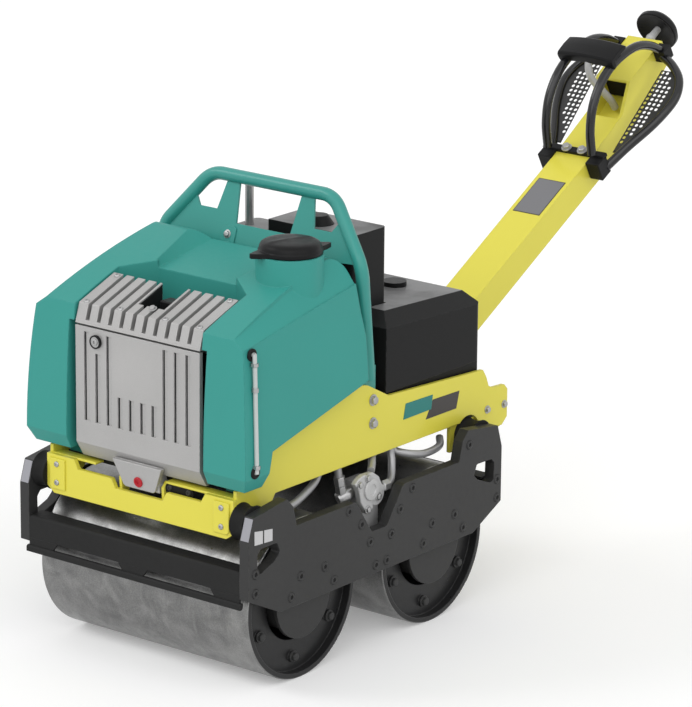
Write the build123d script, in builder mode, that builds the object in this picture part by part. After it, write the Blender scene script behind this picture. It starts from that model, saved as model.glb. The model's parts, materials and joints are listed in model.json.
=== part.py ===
"""Walk-behind double-drum roller: two smooth steel drums in a bolted plate frame, an upper frame
on rubber mounts with the engine, the water tank and a lifting hoop, and a hinged drawbar.

Millimetres. +X is forward, away from the drawbar, +Y is the machine's left and +Z is up.
The origin is on the ground, under the middle of the overall length. Side outlines are drawn
as (forward, up) from the point midway between the drums, at the level of their axles.
"""

import os
from math import cos, radians, sin, tan

from build123d import *

os.makedirs("parts", exist_ok=True)

# Drums and the axles that carry them
DRUM_R = 200.0
DRUM_W = 650.0
DRUM_GAP = 108.0
SHELL = 14.0
RIM_ROUND = 4.0
DISC_T = 12.0
DISC_RECESS = 22.0
CUP_R = 108.0
CUP_WALL = 10.0
CUP_DEPTH = 120.0
HUB_WALL_T = 40.0
AXLE_R = 40.0
AXLE_PLAY = 0.05
BOSS_R = 86.0
FLANGE_R = 99.0
FLANGE_T = 10.0
DISC_BOLTS = 6
DISC_BOLT_R = 150.0
DISC_BOLT_START = 26.0
DISC_BOLT_PAD_R = 14.0
DISC_BOLT_PAD_T = 5.0
SIDE_PLAY = 5.0

# Lower frame, alike at both ends: lengths (_L) are measured back from the ends of its plates
PLATE_T = 28.0
PLATE_END = 36.0
PLATE_LOW_Z = 4.0
PLATE_TOP_Z = 202.0
TOE_L = 114.0
TOE_Z = 60.0
LUG_TOP_Z = 275.0
LUG_L = 162.0
LUG_NOSE_L = 18.0
LUG_NOSE_Z = 259.0
LUG_ROUND = 24.0
NOTCH_TOP_X = 92.0
NOTCH_LOW_X = 30.0
NOTCH_LOW_Z = 112.0
NOTCH_ROUND = 14.0
EYE_ROUND = 7.0
SCRAPER_T = 5.0
SCRAPER_TOP_Z = 126.0
SCRAPER_LOW_Z = 50.0
SCRAPER_DEPTH = 46.0
STRIP_T = 4.0
STRIP_H = 26.0
STRIP_LAP = 8.0
SLOT_IN_Y = 36.0
SLOT_END = 83.0
SLOT_H = 9.0
CROSS_HALF_X = 32.0
CROSS_LOW_Z = 26.0
CROSS_H = 60.0
CROSS_WALL = 8.0

# Rubber mounts between the lower and the upper frame
MOUNT_BACK_L = 52.0
MOUNT_Z = 231.0
MOUNT_R = 44.0
MOUNT_W = 39.0
MOUNT_WAIST = 5.0
CUT_R = 49.0

# Upper frame
UPPER_T = 10.0
UPPER_LOW_Z = 267.0
STEP_Z = 305.0
STEP_L = 138.0
SLOPE_L = 161.0
SLOPE_LOW_Z = 373.0
SLOPE_TOP_X = -8.0
SLOPE_TOP_Z = 456.0
SADDLE_X = -34.0
SADDLE_Z = 450.0
WAIST_X = -117.0
WAIST_Z = 406.0
BEAM_L = 24.0
BEAM_T = 12.0
BEAM_LOW_Z = 188.0
BEAM_TOP_Z = 285.0
BEAM_CORNER_W = 22.0
BEAM_CORNER_H = 16.0
BEAM_LIP = 28.0
BEAM_LIP_T = 8.0
COVER_NOTCH_Z = 262.0
COVER_NOTCH_SLANT = 13.0
TAB_NOTCH_Z = 240.0
TAB_NOTCH_SLANT = 12.0
HINGE_LUG_Y = 66.0
HINGE_LUG_T = 8.0
HINGE_LUG_R = 14.0
HINGE_LUG_H = 40.0
BED_T = 12.0
REAR_BEAM_NEAR = 20.0
REAR_BEAM_FAR = 108.0
REAR_BEAM_LOW_Z = 220.0
REAR_BEAM_H = 38.0
FLANGE_PLATE_T = 10.0
FLANGE_TOP_Z = 316.0
PAD_HALF_X = 60.0
PAD_HALF_Z = 36.0

# Engine, as one closed block on its bed
ENGINE_L = 90.0
ENGINE_BACK_X = -60.0
ENGINE_TOP_Z = 600.0
ENGINE_GAP = 2.0

# Water tank, a saddle over the engine
TANK_OVERHANG = 50.0
TANK_LEAN = 21.0
TANK_SWELL = 4.4
TANK_TUCK = 16.0
TANK_LOW_Z = 312.0
TANK_BULGE_Z = 346.0
TANK_FRONT_L = 8.0
TANK_BROW_L = 26.0
TANK_BROW_Z = 672.0
TANK_TOE_L = 86.0
TANK_HEEL_L = 107.0
TANK_HEEL_Z = 395.0
TANK_TAIL_Z = 483.0
TANK_BACK_X = 20.0
TANK_BACK_Z = 589.0
TANK_BACK_LEAN = 11.4
TANK_TOP_Z = 793.0
TANK_CROWN_L = 213.0
TANK_CROWN_Z = 740.0
TANK_RISE = 17.3
TANK_BACK_ROUND = 45.0
RIDGE_IN = 51.0
RIDGE_TAPER = 3.2
CREASE_DROP = 21.0
CREASE_RISE = 9.8
CREASE_TAPER = 1.3
TROUGH_HALF_Y = 120.0
TROUGH_X = 252.0
TROUGH_Z = 729.0
TROUGH_RISE = 9.4
TROUGH_H = 60.0
TROUGH_FRONT_FLARE = 21.0
TROUGH_BACK_FLARE = 62.0
CLEAR_Z = 1000.0
BAY_GAP = 15.0
BAY_TOP_Z = 632.0
MOUTH_GAP = 6.0
MOUTH_L = 182.0
LOBE_X = 230.0
LOBE_L = 340.0
LOBE_H = 180.0
NECK_X = 180.0
NECK_IN = 119.0
NECK_R = 81.0
NECK_RISE = 69.0
NECK_H = 110.0
CAP_R = 76.0
CAP_T = 30.0
CAP_LUG_W = 34.0
CAP_LUG_REACH = 110.0
CAP_LUG_TURN = -20.0
TUBE_L = 42.0
TUBE_OUT = 6.0
TUBE_R = 5.5
TUBE_LOW_Z = 360.0
TUBE_TOP_Z = 636.0
TUBE_STUB = 30.0

# Front cover in two castings
COVER_IN = 99.0
COVER_L = 20.0
COVER_SEAM_Z = 623.0
COVER_BROW_L = 35.0
COVER_BROW_Z = 675.0
COVER_BACK_L = 159.0
COVER_BACK_Z = 721.0
COVER_WALL = 12.0
SEAM_GAP = 5.0
SLATS = 10
SLAT_W = 12.0
SLAT_DEPTH = 18.0
SLAT_END = 10.0
GROOVE_W = 17.0
GROOVE_DEPTH = 4.0
GROOVE_END = 12.0
GROOVE_LOW_Z = 392.0
SIGN_HALF_Y = 72.0
SIGN_LOW_Z = 468.0
POCKET_HALF_Y = 40.0
POCKET_L = 72.0
CHIN_L = 44.0
CHIN_Z = 296.0
JAW_Z = 335.0
TAB_STEP = 4.0
TAB_BACK = 12.0
HINGE_L = 48.0
HINGE_Z = 268.0
HINGE_R = 8.0
HINGE_PLAY = 0.05
KNUCKLE_R = 16.0
LOCK_IN = 66.0
LOCK_Z = 592.0
LOCK_R = 15.0
LOCK_T = 6.0
PLUG_R = 13.0
PLUG_T = 4.0

# Lifting hoop
HOOP_R = 16.5
HOOP_TOP_Z = 902.0
HOOP_TOP_X = -27.0
HOOP_TOP_IN = 122.0
HOOP_KNEE_X = 20.0
HOOP_KNEE_OUT = 21.0
HOOP_KNEE_Z = 755.0
HOOP_FOOT_X = -54.0
HOOP_FOOT_IN = 14.0
HOOP_FOOT_Z = 462.0
HOOP_BEND = 70.0
SHOE_W = 44.0
SHOE_T = 14.0
SHOE_LOW_Z = 330.0
SHOE_H = 160.0
PANEL_T = 6.0
PANEL_LOW = -170.0
PANEL_SIDE = -150.0
PANEL_EDGE = -120.0
PANEL_SILL = -112.0
PANEL_EAR = -60.0
PANEL_DIP = -86.0
PANEL_CORNER = 10.0
PANEL_SLANT = 14.0
EAR_OUT = 32.0
DIP_OUT = 15.0
DIP_W = 55.0
PRONG_OUT = 58.0
PRONG_W = 34.0
PRONG_SPREAD = 14.0

# Boxes at the rear
BOX_IN = 6.0
BOX_FRONT_X = -112.0
BOX_END = 2.0
BOX_LOW_Z = 410.0
BOX_TOP_Z = 606.0
BOX_FALL = 17.0
BOX_BEVEL = 34.0
BOX_ROUND = 18.0
HOUSING_IN = 88.0
HOUSING_FRONT_X = -84.0
HOUSING_BACK_X = -215.0
HOUSING_TOP_Z = 793.0
HOUSING_STEP = 45.0
HOUSING_STEP_Y = -60.0
HOUSING_ROUND = 14.0
BOX_GAP = 0.3
BOX_CAP_X = -375.0
BOX_CAP_Y = 104.0
BOX_CAP_T = 9.0
FILLER_R = 30.0
DOME_X = -130.0
DOME_Y = 60.0
DOME_R = 38.0
DOME_H = 22.0
DOME_TAPER = 35.0
POST_X = -150.0
POST_IN = 28.0
POST_R = 11.0
POST_H = 115.0
MOTOR_X = -34.0
MOTOR_IN = 58.0
MOTOR_W = 60.0
MOTOR_H = 126.0
MOTOR_R = 28.0
MOTOR_REACH = 50.0

# Drawbar and its head, drawn along the bar: (distance from the pivot, height above its axis)
BAR_BACK = 70.0
BAR_PIVOT_Z = 293.0
BAR_ANGLE = 29.5
BAR_HALF_Y = 55.0
BAR_DEPTH = 80.0
BAR_START = 34.0
BAR_L = 860.0
HEAD_L = 394.0
EAR_Y = 30.0
EAR_T = 12.0
EAR_R = 24.0
EAR_GAP = 1.0
CHEEK_R = 28.0
PIN_R = 12.0
PIN_PLAY = 0.05
STOP_NEAR = 52.0
STOP_FAR = 85.0
STOP_T = 30.0
STOP_HALF_Y = 30.0
STOP_GAP = 0.4
HEAD_WALL = 10.0
LEVER_T = 16.0
GRIP_F = 0.376
GRIP_RISE = 0.635
GRIP_L = 68.0
GRIP_DROP = 10.0
GRIP_T = 10.0
GRIP_HALF_Y = 86.0
BOW_Y = 71.0
BOW_R = 10.5
BOW_STEP = 3.86
BOW_BEND_F = 0.203
GUARD_F = 0.081
GUARD_RISE = 0.041
GUARD_TILT = 13.2
GUARD_T = 2.5
GUARD_IN_Y = 96.0
CLAMP_L = 35.0
CLAMP_BACK = 45.0
CLAMP_HALF_Y = 98.0
CLAMP_T = 13.0
CLAMP_LOW = -8.0
HOLDER_F = 0.878
HOLDER_RISE = 0.245
HOLDER_W = 35.0
HOLDER_H = 36.0
KNOB_RISE = 0.241
STEM_R = 8.0

# Outlines given by a few points. Lashing eye: (back from the plate's end, up)
EYE = ((114, 152), (102, 179), (41, 178), (30, 165), (31, 122), (44, 117), (95, 136))
# Rear corner of the upper side plates: (beyond the end of the lower frame, up)
REAR_CORNER = (
    (7, 384), (21, 363), (32, 337), (50, 329), (98, 326), (111, 312), (111, 240), (90, 222),
)
# Front foot of the upper side plates: (back from the end of the lower frame, up)
FRONT_FOOT = ((177, UPPER_LOW_Z), (145, 224), (110, 204))
# Head of the drawbar, in fractions of its length: (along the bar, above the bar's axis)
CASING = (
    (0.391, 0.122), (0.571, 0.274), (0.863, 0.284), (1.0, 0.282), (1.0, 0.102), (0.355, -0.063),
)
CAVITY = (
    (0.396, 0.152), (0.563, 0.305), (0.563, 0.256), (0.685, 0.241), (0.685, 0.076), (0.381, 0.025),
    (0.355, 0.102), (0.355, 0.152),
)
LEVER = (
    (0.317, 0.635), (0.406, 0.635), (0.401, 0.355), (0.503, 0.152), (0.533, 0.030), (0.472, 0.020),
    (0.442, 0.140), (0.332, 0.355),
)
UPPER_BOW = (
    (-0.081, 0.127), (0.005, 0.317), (0.114, 0.452), (0.274, 0.533), (0.457, 0.548), (0.673, 0.495),
    (0.825, 0.386), (0.940, 0.236),
)
# Bow and guard that spread to the side, in the same fractions: (along them, out from the far end)
SIDE_BOW = (
    (-0.13, 0.023), (0.084, 0.109), (0.292, 0.206), (0.475, 0.259), (0.591, 0.254), (0.698, 0.203),
    (0.789, 0.102), (0.843, 0.0),
)
GUARD = ((0.0, 0.076), *SIDE_BOW[1:6], (0.764, 0.130))
# Stop knob, a shallow mushroom on a stem: (beyond the head's end, radius)
KNOB = (
    (0, 0), (0, STEM_R), (62, STEM_R), (64, 36), (52, 54), (52, 58), (64, 58), (79, 38), (88, 12),
    (89, 0),
)

WHEELBASE = 2 * DRUM_R + DRUM_GAP
HALF_L = WHEELBASE / 2 + DRUM_R + PLATE_END
PLATE_IN = DRUM_W / 2 + SIDE_PLAY
UPPER_Y = PLATE_IN - MOUNT_W
UPPER_IN = UPPER_Y - UPPER_T
MOUNT_X = HALF_L - MOUNT_BACK_L
BEAM_X = HALF_L - BEAM_L
BEAM_BACK_X = BEAM_X - BEAM_T
FOOT_Z = BEAM_LOW_Z + BEAM_CORNER_H
BED_TOP_Z = UPPER_LOW_Z + BED_T
REAR_BEAM_FRONT_X = -HALF_L - REAR_BEAM_NEAR
REAR_BEAM_BACK_X = -HALF_L - REAR_BEAM_FAR
COVER_HALF_Y = UPPER_Y - COVER_IN
COVER_X = HALF_L - COVER_L
COVER_BROW_X = HALF_L - COVER_BROW_L
COVER_BACK_X = HALF_L - COVER_BACK_L
SLAT_PITCH = 2 * COVER_HALF_Y / (SLATS + 1)
CHIN_X = HALF_L - CHIN_L
HINGE_X = HALF_L - HINGE_L
ENGINE_FRONT_X = HALF_L - ENGINE_L
ENGINE_HALF_Y = COVER_HALF_Y - ENGINE_GAP
TANK_HALF_Y = UPPER_Y + TANK_OVERHANG
TANK_BROW_X = HALF_L - TANK_BROW_L
NECK_TOP_Z = TANK_CROWN_Z + NECK_RISE
MOUTH_HALF_Y = COVER_HALF_Y + MOUTH_GAP
BAY_HALF_Y = MOUTH_HALF_Y + BAY_GAP
HOOP_KNEE_Y = UPPER_Y + HOOP_KNEE_OUT
HOOP_TOP_Y = HOOP_KNEE_Y - HOOP_TOP_IN
BOX_HALF_Y = UPPER_Y - BOX_IN
BOX_BACK_X = -HALF_L - BOX_END
HOUSING_HALF_Y = UPPER_Y - HOUSING_IN
BAR_PIVOT_X = -HALF_L - BAR_BACK
POST_Y = POST_IN - HOUSING_HALF_Y
HEAD_END = BAR_L + HEAD_L
GRIP_N = GRIP_RISE * HEAD_L
GRIP_END_N = GRIP_N - GRIP_DROP
BOW_BEND = BOW_BEND_F * HEAD_L
GUARD_N = GUARD_RISE * HEAD_L
HOLDER_N = HOLDER_RISE * HEAD_L
KNOB_N = KNOB_RISE * HEAD_L
ANGLE = radians(BAR_ANGLE)
KNOB_REACH = max((HEAD_END + s) * cos(ANGLE) + r * sin(ANGLE) for s, r in KNOB)
REACH_BACK = KNOB_REACH - BAR_PIVOT_X - KNOB_N * sin(ANGLE)
MID_X = (REACH_BACK - HALF_L - STRIP_T) / 2
ENDS = (("front", 1), ("rear", -1))
HANDS = (("left", 1), ("right", -1))


def side_plane(y):
    """Upright plane along the machine: sketch x is forward, sketch y is up, normal is -Y."""
    return Plane(origin=(MID_X, y, DRUM_R), x_dir=(1, 0, 0), z_dir=(0, -1, 0))


def cross_plane(x):
    """Upright plane across the machine: sketch x is left, sketch y is up, normal is +X."""
    return Plane(origin=(MID_X + x, 0, DRUM_R), x_dir=(0, 1, 0), z_dir=(1, 0, 0))


def level_plane(z):
    """Level plane: sketch x is forward, sketch y is left, normal is +Z."""
    return Plane(origin=(MID_X, 0, DRUM_R + z), x_dir=(1, 0, 0), z_dir=(0, 0, 1))


def bar_plane(y):
    """Upright plane along the drawbar: sketch x runs up the bar, sketch y is square to it."""
    pivot = (MID_X + BAR_PIVOT_X, y, DRUM_R + BAR_PIVOT_Z)
    return Plane(origin=pivot, x_dir=(-cos(ANGLE), 0, sin(ANGLE)), z_dir=(0, 1, 0))


def bar_cross_plane(s):
    """Plane square to the drawbar at distance s: sketch x is right, sketch y is up the section."""
    start = bar_plane(0).from_local_coords(Vector(s, 0, 0))
    return Plane(origin=start, x_dir=(0, -1, 0), z_dir=(-cos(ANGLE), 0, sin(ANGLE)))


def guard_plane():
    """Plane of the side bows and guards: sketch x runs up along the head, sketch y is left."""
    start = bar_plane(0).from_local_coords(Vector(head_s(GUARD_F), GUARD_N, 0))
    slope = radians(BAR_ANGLE + GUARD_TILT)
    return Plane(
        origin=start, x_dir=(-cos(slope), 0, sin(slope)), z_dir=(-sin(slope), 0, -cos(slope))
    )


def head_s(fraction):
    """Distance along the bar at a fraction of the head's length."""
    return BAR_L + fraction * HEAD_L


def head_points(table):
    """Points of the head, from fractions of its length along the bar and above its axis."""
    return [(head_s(along), above * HEAD_L) for along, above in table]


def spread_points(table, sign):
    """Points of a side bow or guard, spreading from its far end just outside the upper bow."""
    return [(along * HEAD_L, sign * (BOW_Y + BOW_STEP + out * HEAD_L)) for along, out in table]


def bar_underside(x):
    """Height of the drawbar's stop at x, just under the bar's lower face at rest."""
    return BAR_PIVOT_Z + (BAR_PIVOT_X - x) * tan(ANGLE) - (BAR_DEPTH / 2 + STOP_GAP) / cos(ANGLE)


def write(builder, name):
    builder.part.label = name
    export_step(builder.part, f"parts/{name}.step")


# Drums: shell, recessed end discs, and a cup in each end with a bored wall for the axle
for name, end in ENDS:
    axle = Plane(
        origin=(MID_X + end * WHEELBASE / 2, 0, DRUM_R), x_dir=(0, 1, 0), z_dir=(1, 0, 0)
    )
    half = DRUM_W / 2
    disc_out = half - DISC_RECESS
    cup_floor = disc_out - CUP_DEPTH
    with BuildPart() as drum:
        with BuildSketch(axle):
            with BuildLine():
                Polyline(
                    (0, DRUM_R), (half, DRUM_R), (half, DRUM_R - SHELL),
                    (disc_out, DRUM_R - SHELL), (disc_out, CUP_R), (cup_floor, CUP_R),
                    (cup_floor, AXLE_R + AXLE_PLAY), (cup_floor - HUB_WALL_T, AXLE_R + AXLE_PLAY),
                    (cup_floor - HUB_WALL_T, CUP_R + CUP_WALL), (disc_out - DISC_T, CUP_R + CUP_WALL),
                    (disc_out - DISC_T, DRUM_R - SHELL), (0, DRUM_R - SHELL), close=True,
                )
            make_face()
            mirror(about=Plane.YZ)
        revolve(axis=Axis(axle.origin, (0, 1, 0)))
        rims = drum.edges().filter_by(GeomType.CIRCLE).sort_by(lambda e: -e.radius)[:2]
        fillet(rims, radius=RIM_ROUND)
        for y, facing in ((disc_out, 1), (-disc_out, -1)):
            pads = Plane(origin=(axle.origin.X, y, DRUM_R), x_dir=(1, 0, 0), z_dir=(0, facing, 0))
            with BuildSketch(pads):
                with PolarLocations(DISC_BOLT_R, DISC_BOLTS, start_angle=DISC_BOLT_START):
                    Circle(DISC_BOLT_PAD_R)
            extrude(amount=DISC_BOLT_PAD_T)
    write(drum, f"{name}_drum")

# Axle carriers: a bolted flange, a boss and the stub that the drum turns on
for name, end in ENDS:
    for hand, sign in HANDS:
        axis_point = (MID_X + end * WHEELBASE / 2, 0, DRUM_R)
        axle = Plane(origin=axis_point, x_dir=(0, sign, 0), z_dir=(sign, 0, 0))
        disc_out = DRUM_W / 2 - DISC_RECESS
        stub_end = disc_out - CUP_DEPTH - HUB_WALL_T
        boss_end = disc_out - CUP_DEPTH + SIDE_PLAY
        with BuildPart() as carrier:
            with BuildSketch(axle):
                with BuildLine():
                    Polyline(
                        (PLATE_IN, 0), (PLATE_IN, FLANGE_R), (PLATE_IN - FLANGE_T, FLANGE_R),
                        (PLATE_IN - FLANGE_T, BOSS_R), (boss_end, BOSS_R), (boss_end, AXLE_R),
                        (stub_end, AXLE_R), (stub_end, 0), close=True,
                    )
                make_face()
            revolve(axis=Axis(axis_point, (0, 1, 0)))
        write(carrier, f"{name}_axle_{hand}")

# Side plates of the lower frame, alike at both ends
lug_x = HALF_L - LUG_L
for hand, sign in HANDS:
    with BuildPart() as plate:
        with BuildSketch(side_plane(sign * (PLATE_IN + PLATE_T / 2))) as outline:
            with BuildLine():
                Polyline(
                    (0, PLATE_LOW_Z), (HALF_L - TOE_L, PLATE_LOW_Z), (HALF_L, TOE_Z),
                    (HALF_L, PLATE_TOP_Z), (HALF_L - LUG_NOSE_L, LUG_NOSE_Z),
                    (lug_x + LUG_ROUND, LUG_TOP_Z), (lug_x, LUG_TOP_Z - LUG_ROUND),
                    (lug_x - LUG_ROUND / 2, PLATE_TOP_Z), (NOTCH_TOP_X, PLATE_TOP_Z),
                    (NOTCH_LOW_X, NOTCH_LOW_Z), (0, NOTCH_LOW_Z), close=True,
                )
            make_face()
            mirror(about=Plane.YZ)
            fillet(
                outline.vertices().filter_by(
                    lambda v: NOTCH_LOW_Z - 1 < v.Y < PLATE_TOP_Z + 1 and abs(v.X) < NOTCH_TOP_X + 1
                ),
                radius=NOTCH_ROUND,
            )
            with BuildSketch(mode=Mode.PRIVATE) as eye:
                with BuildLine():
                    Polyline(*((HALF_L - back, z) for back, z in EYE), close=True)
                make_face()
                fillet(eye.vertices(), radius=EYE_ROUND)
                mirror(about=Plane.YZ)
            add(eye.sketch, mode=Mode.SUBTRACT)
        extrude(amount=PLATE_T / 2, both=True)
    write(plate, f"side_plate_{hand}")

# Scraper beams at both ends: a bent plate with two slots, and the thin strip below it
slot_out_y = PLATE_IN - SLOT_END
slot_y = (SLOT_IN_Y + slot_out_y) / 2
slot_z = SCRAPER_LOW_Z + STRIP_LAP + SLOT_H
for name, end in ENDS:
    face_x = HALF_L - SCRAPER_T
    with BuildPart() as beam:
        with BuildSketch(side_plane(0)):
            with BuildLine():
                Polyline(
                    (end * HALF_L, SCRAPER_LOW_Z), (end * HALF_L, SCRAPER_TOP_Z),
                    (end * (HALF_L - SCRAPER_DEPTH), SCRAPER_TOP_Z),
                    (end * (HALF_L - SCRAPER_DEPTH), SCRAPER_TOP_Z - SCRAPER_T),
                    (end * face_x, SCRAPER_TOP_Z - SCRAPER_T), (end * face_x, SCRAPER_LOW_Z),
                    close=True,
                )
            make_face()
        extrude(amount=PLATE_IN, both=True)
        with BuildSketch(cross_plane(end * face_x - SCRAPER_T)):
            with Locations((slot_y, slot_z), (-slot_y, slot_z)):
                SlotOverall(slot_out_y - SLOT_IN_Y, SLOT_H)
        extrude(amount=4 * SCRAPER_T, both=True, mode=Mode.SUBTRACT)
    write(beam, f"{name}_scraper_beam")
    with BuildPart() as strip:
        strip_x = HALF_L if end > 0 else -HALF_L - STRIP_T
        with BuildSketch(cross_plane(strip_x)):
            with Locations((0, SCRAPER_LOW_Z + STRIP_LAP - STRIP_H / 2)):
                Rectangle(2 * PLATE_IN, STRIP_H)
        extrude(amount=STRIP_T)
    write(strip, f"{name}_scraper_strip")

# Cross tube between the drums
with BuildPart() as cross_tube:
    with BuildSketch(side_plane(0)):
        with Locations((0, CROSS_LOW_Z + CROSS_H / 2)):
            Rectangle(2 * CROSS_HALF_X, CROSS_H)
            Rectangle(2 * (CROSS_HALF_X - CROSS_WALL), CROSS_H - 2 * CROSS_WALL, mode=Mode.SUBTRACT)
    extrude(amount=PLATE_IN, both=True)
write(cross_tube, "cross_tube")

# Rubber mounts, waisted at mid length
for name, end, inner_y in (("front", 1, UPPER_Y), ("rear", -1, UPPER_IN)):
    for hand, sign in HANDS:
        axis_point = (MID_X + end * MOUNT_X, 0, DRUM_R + MOUNT_Z)
        axle = Plane(origin=axis_point, x_dir=(0, sign, 0), z_dir=(sign, 0, 0))
        with BuildPart() as rubber:
            with BuildSketch(axle):
                with BuildLine():
                    Polyline((inner_y, MOUNT_R), (inner_y, 0), (PLATE_IN, 0), (PLATE_IN, MOUNT_R))
                    ThreePointArc(
                        (PLATE_IN, MOUNT_R), ((inner_y + PLATE_IN) / 2, MOUNT_R - MOUNT_WAIST),
                        (inner_y, MOUNT_R),
                    )
                make_face()
            revolve(axis=Axis(axis_point, (0, 1, 0)))
        write(rubber, f"{name}_mount_{hand}")

# Side plates of the upper frame, cut round the rear mounts
cut_start = (-MOUNT_X - CUT_R, MOUNT_Z)
cut_end = (-MOUNT_X + (CUT_R**2 - (UPPER_LOW_Z - MOUNT_Z) ** 2) ** 0.5, UPPER_LOW_Z)
upper_top = [
    (BEAM_BACK_X, FOOT_Z), (BEAM_BACK_X, STEP_Z), (HALF_L - STEP_L, STEP_Z),
    (HALF_L - SLOPE_L, SLOPE_LOW_Z), (SLOPE_TOP_X, SLOPE_TOP_Z), (SADDLE_X, SADDLE_Z),
    (WAIST_X, WAIST_Z),
]
upper_top += [(-HALF_L - beyond, z) for beyond, z in REAR_CORNER]
upper_foot = [(HALF_L - back, z) for back, z in FRONT_FOOT]
for hand, sign in HANDS:
    with BuildPart() as upper:
        with BuildSketch(side_plane(sign * (UPPER_Y - UPPER_T / 2))):
            with BuildLine():
                Polyline(*upper_top, cut_start)
                ThreePointArc(cut_start, (-MOUNT_X, MOUNT_Z + CUT_R), cut_end)
                Polyline(cut_end, *upper_foot, (BEAM_BACK_X, FOOT_Z))
            make_face()
        extrude(amount=UPPER_T / 2, both=True)
    write(upper, f"upper_side_plate_{hand}")

# Bumper beam across the front, notched for the cover and its tab, with the lugs of the hinge pin
tab_notch_y = HINGE_LUG_Y + HINGE_LUG_T
cover_notch_y = COVER_HALF_Y + COVER_NOTCH_SLANT
with BuildPart() as bumper:
    with BuildSketch(cross_plane(BEAM_BACK_X)):
        with BuildLine():
            Polyline(
                (0, BEAM_LOW_Z), (UPPER_Y - BEAM_CORNER_W, BEAM_LOW_Z), (UPPER_Y, FOOT_Z),
                (UPPER_Y, BEAM_TOP_Z), (cover_notch_y, BEAM_TOP_Z), (COVER_HALF_Y, COVER_NOTCH_Z),
                (tab_notch_y + TAB_NOTCH_SLANT, COVER_NOTCH_Z), (tab_notch_y, TAB_NOTCH_Z),
                (0, TAB_NOTCH_Z), close=True,
            )
        make_face()
        mirror(about=Plane.YZ)
    extrude(amount=BEAM_T)
    with BuildSketch(level_plane(BEAM_TOP_Z)):
        lip_w = UPPER_IN - cover_notch_y
        with Locations((BEAM_X - BEAM_LIP / 2, UPPER_IN - lip_w / 2)):
            Rectangle(BEAM_LIP, lip_w)
        mirror(about=Plane.XZ)
    extrude(amount=-BEAM_LIP_T)
    for sign in (1, -1):
        with BuildSketch(side_plane(sign * HINGE_LUG_Y)):
            with BuildLine():
                Polyline(
                    (BEAM_BACK_X, HINGE_Z - HINGE_LUG_H), (BEAM_BACK_X, HINGE_Z - 2 * HINGE_LUG_R),
                    (HINGE_X + HINGE_LUG_R, HINGE_Z), (HINGE_X, HINGE_Z + HINGE_LUG_R),
                    (HINGE_X - HINGE_LUG_R, HINGE_Z), (HINGE_X - HINGE_LUG_R, HINGE_Z - HINGE_LUG_H),
                    close=True,
                )
            make_face()
            with Locations((HINGE_X, HINGE_Z)):
                Circle(HINGE_R, mode=Mode.SUBTRACT)
        extrude(amount=HINGE_LUG_T / 2, both=True)
write(bumper, "bumper_beam")
with BuildPart() as hinge_pin:
    with BuildSketch(side_plane(0)):
        with Locations((HINGE_X, HINGE_Z)):
            Circle(HINGE_R)
    extrude(amount=HINGE_LUG_Y + HINGE_LUG_T / 2, both=True)
write(hinge_pin, "cover_hinge_pin")

# Engine bed between the side plates, and the engine as one closed block
with BuildPart() as bed:
    with BuildSketch(level_plane(UPPER_LOW_Z)):
        with Locations(((ENGINE_FRONT_X + BOX_BACK_X) / 2, 0)):
            Rectangle(ENGINE_FRONT_X - BOX_BACK_X, 2 * UPPER_IN)
    extrude(amount=BED_T)
write(bed, "engine_bed")
with BuildPart() as engine:
    with BuildSketch(level_plane(BED_TOP_Z)):
        with Locations(((ENGINE_FRONT_X + ENGINE_BACK_X) / 2, 0)):
            Rectangle(ENGINE_FRONT_X - ENGINE_BACK_X, 2 * ENGINE_HALF_Y)
    extrude(amount=ENGINE_TOP_Z - BED_TOP_Z)
write(engine, "engine_block")

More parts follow.
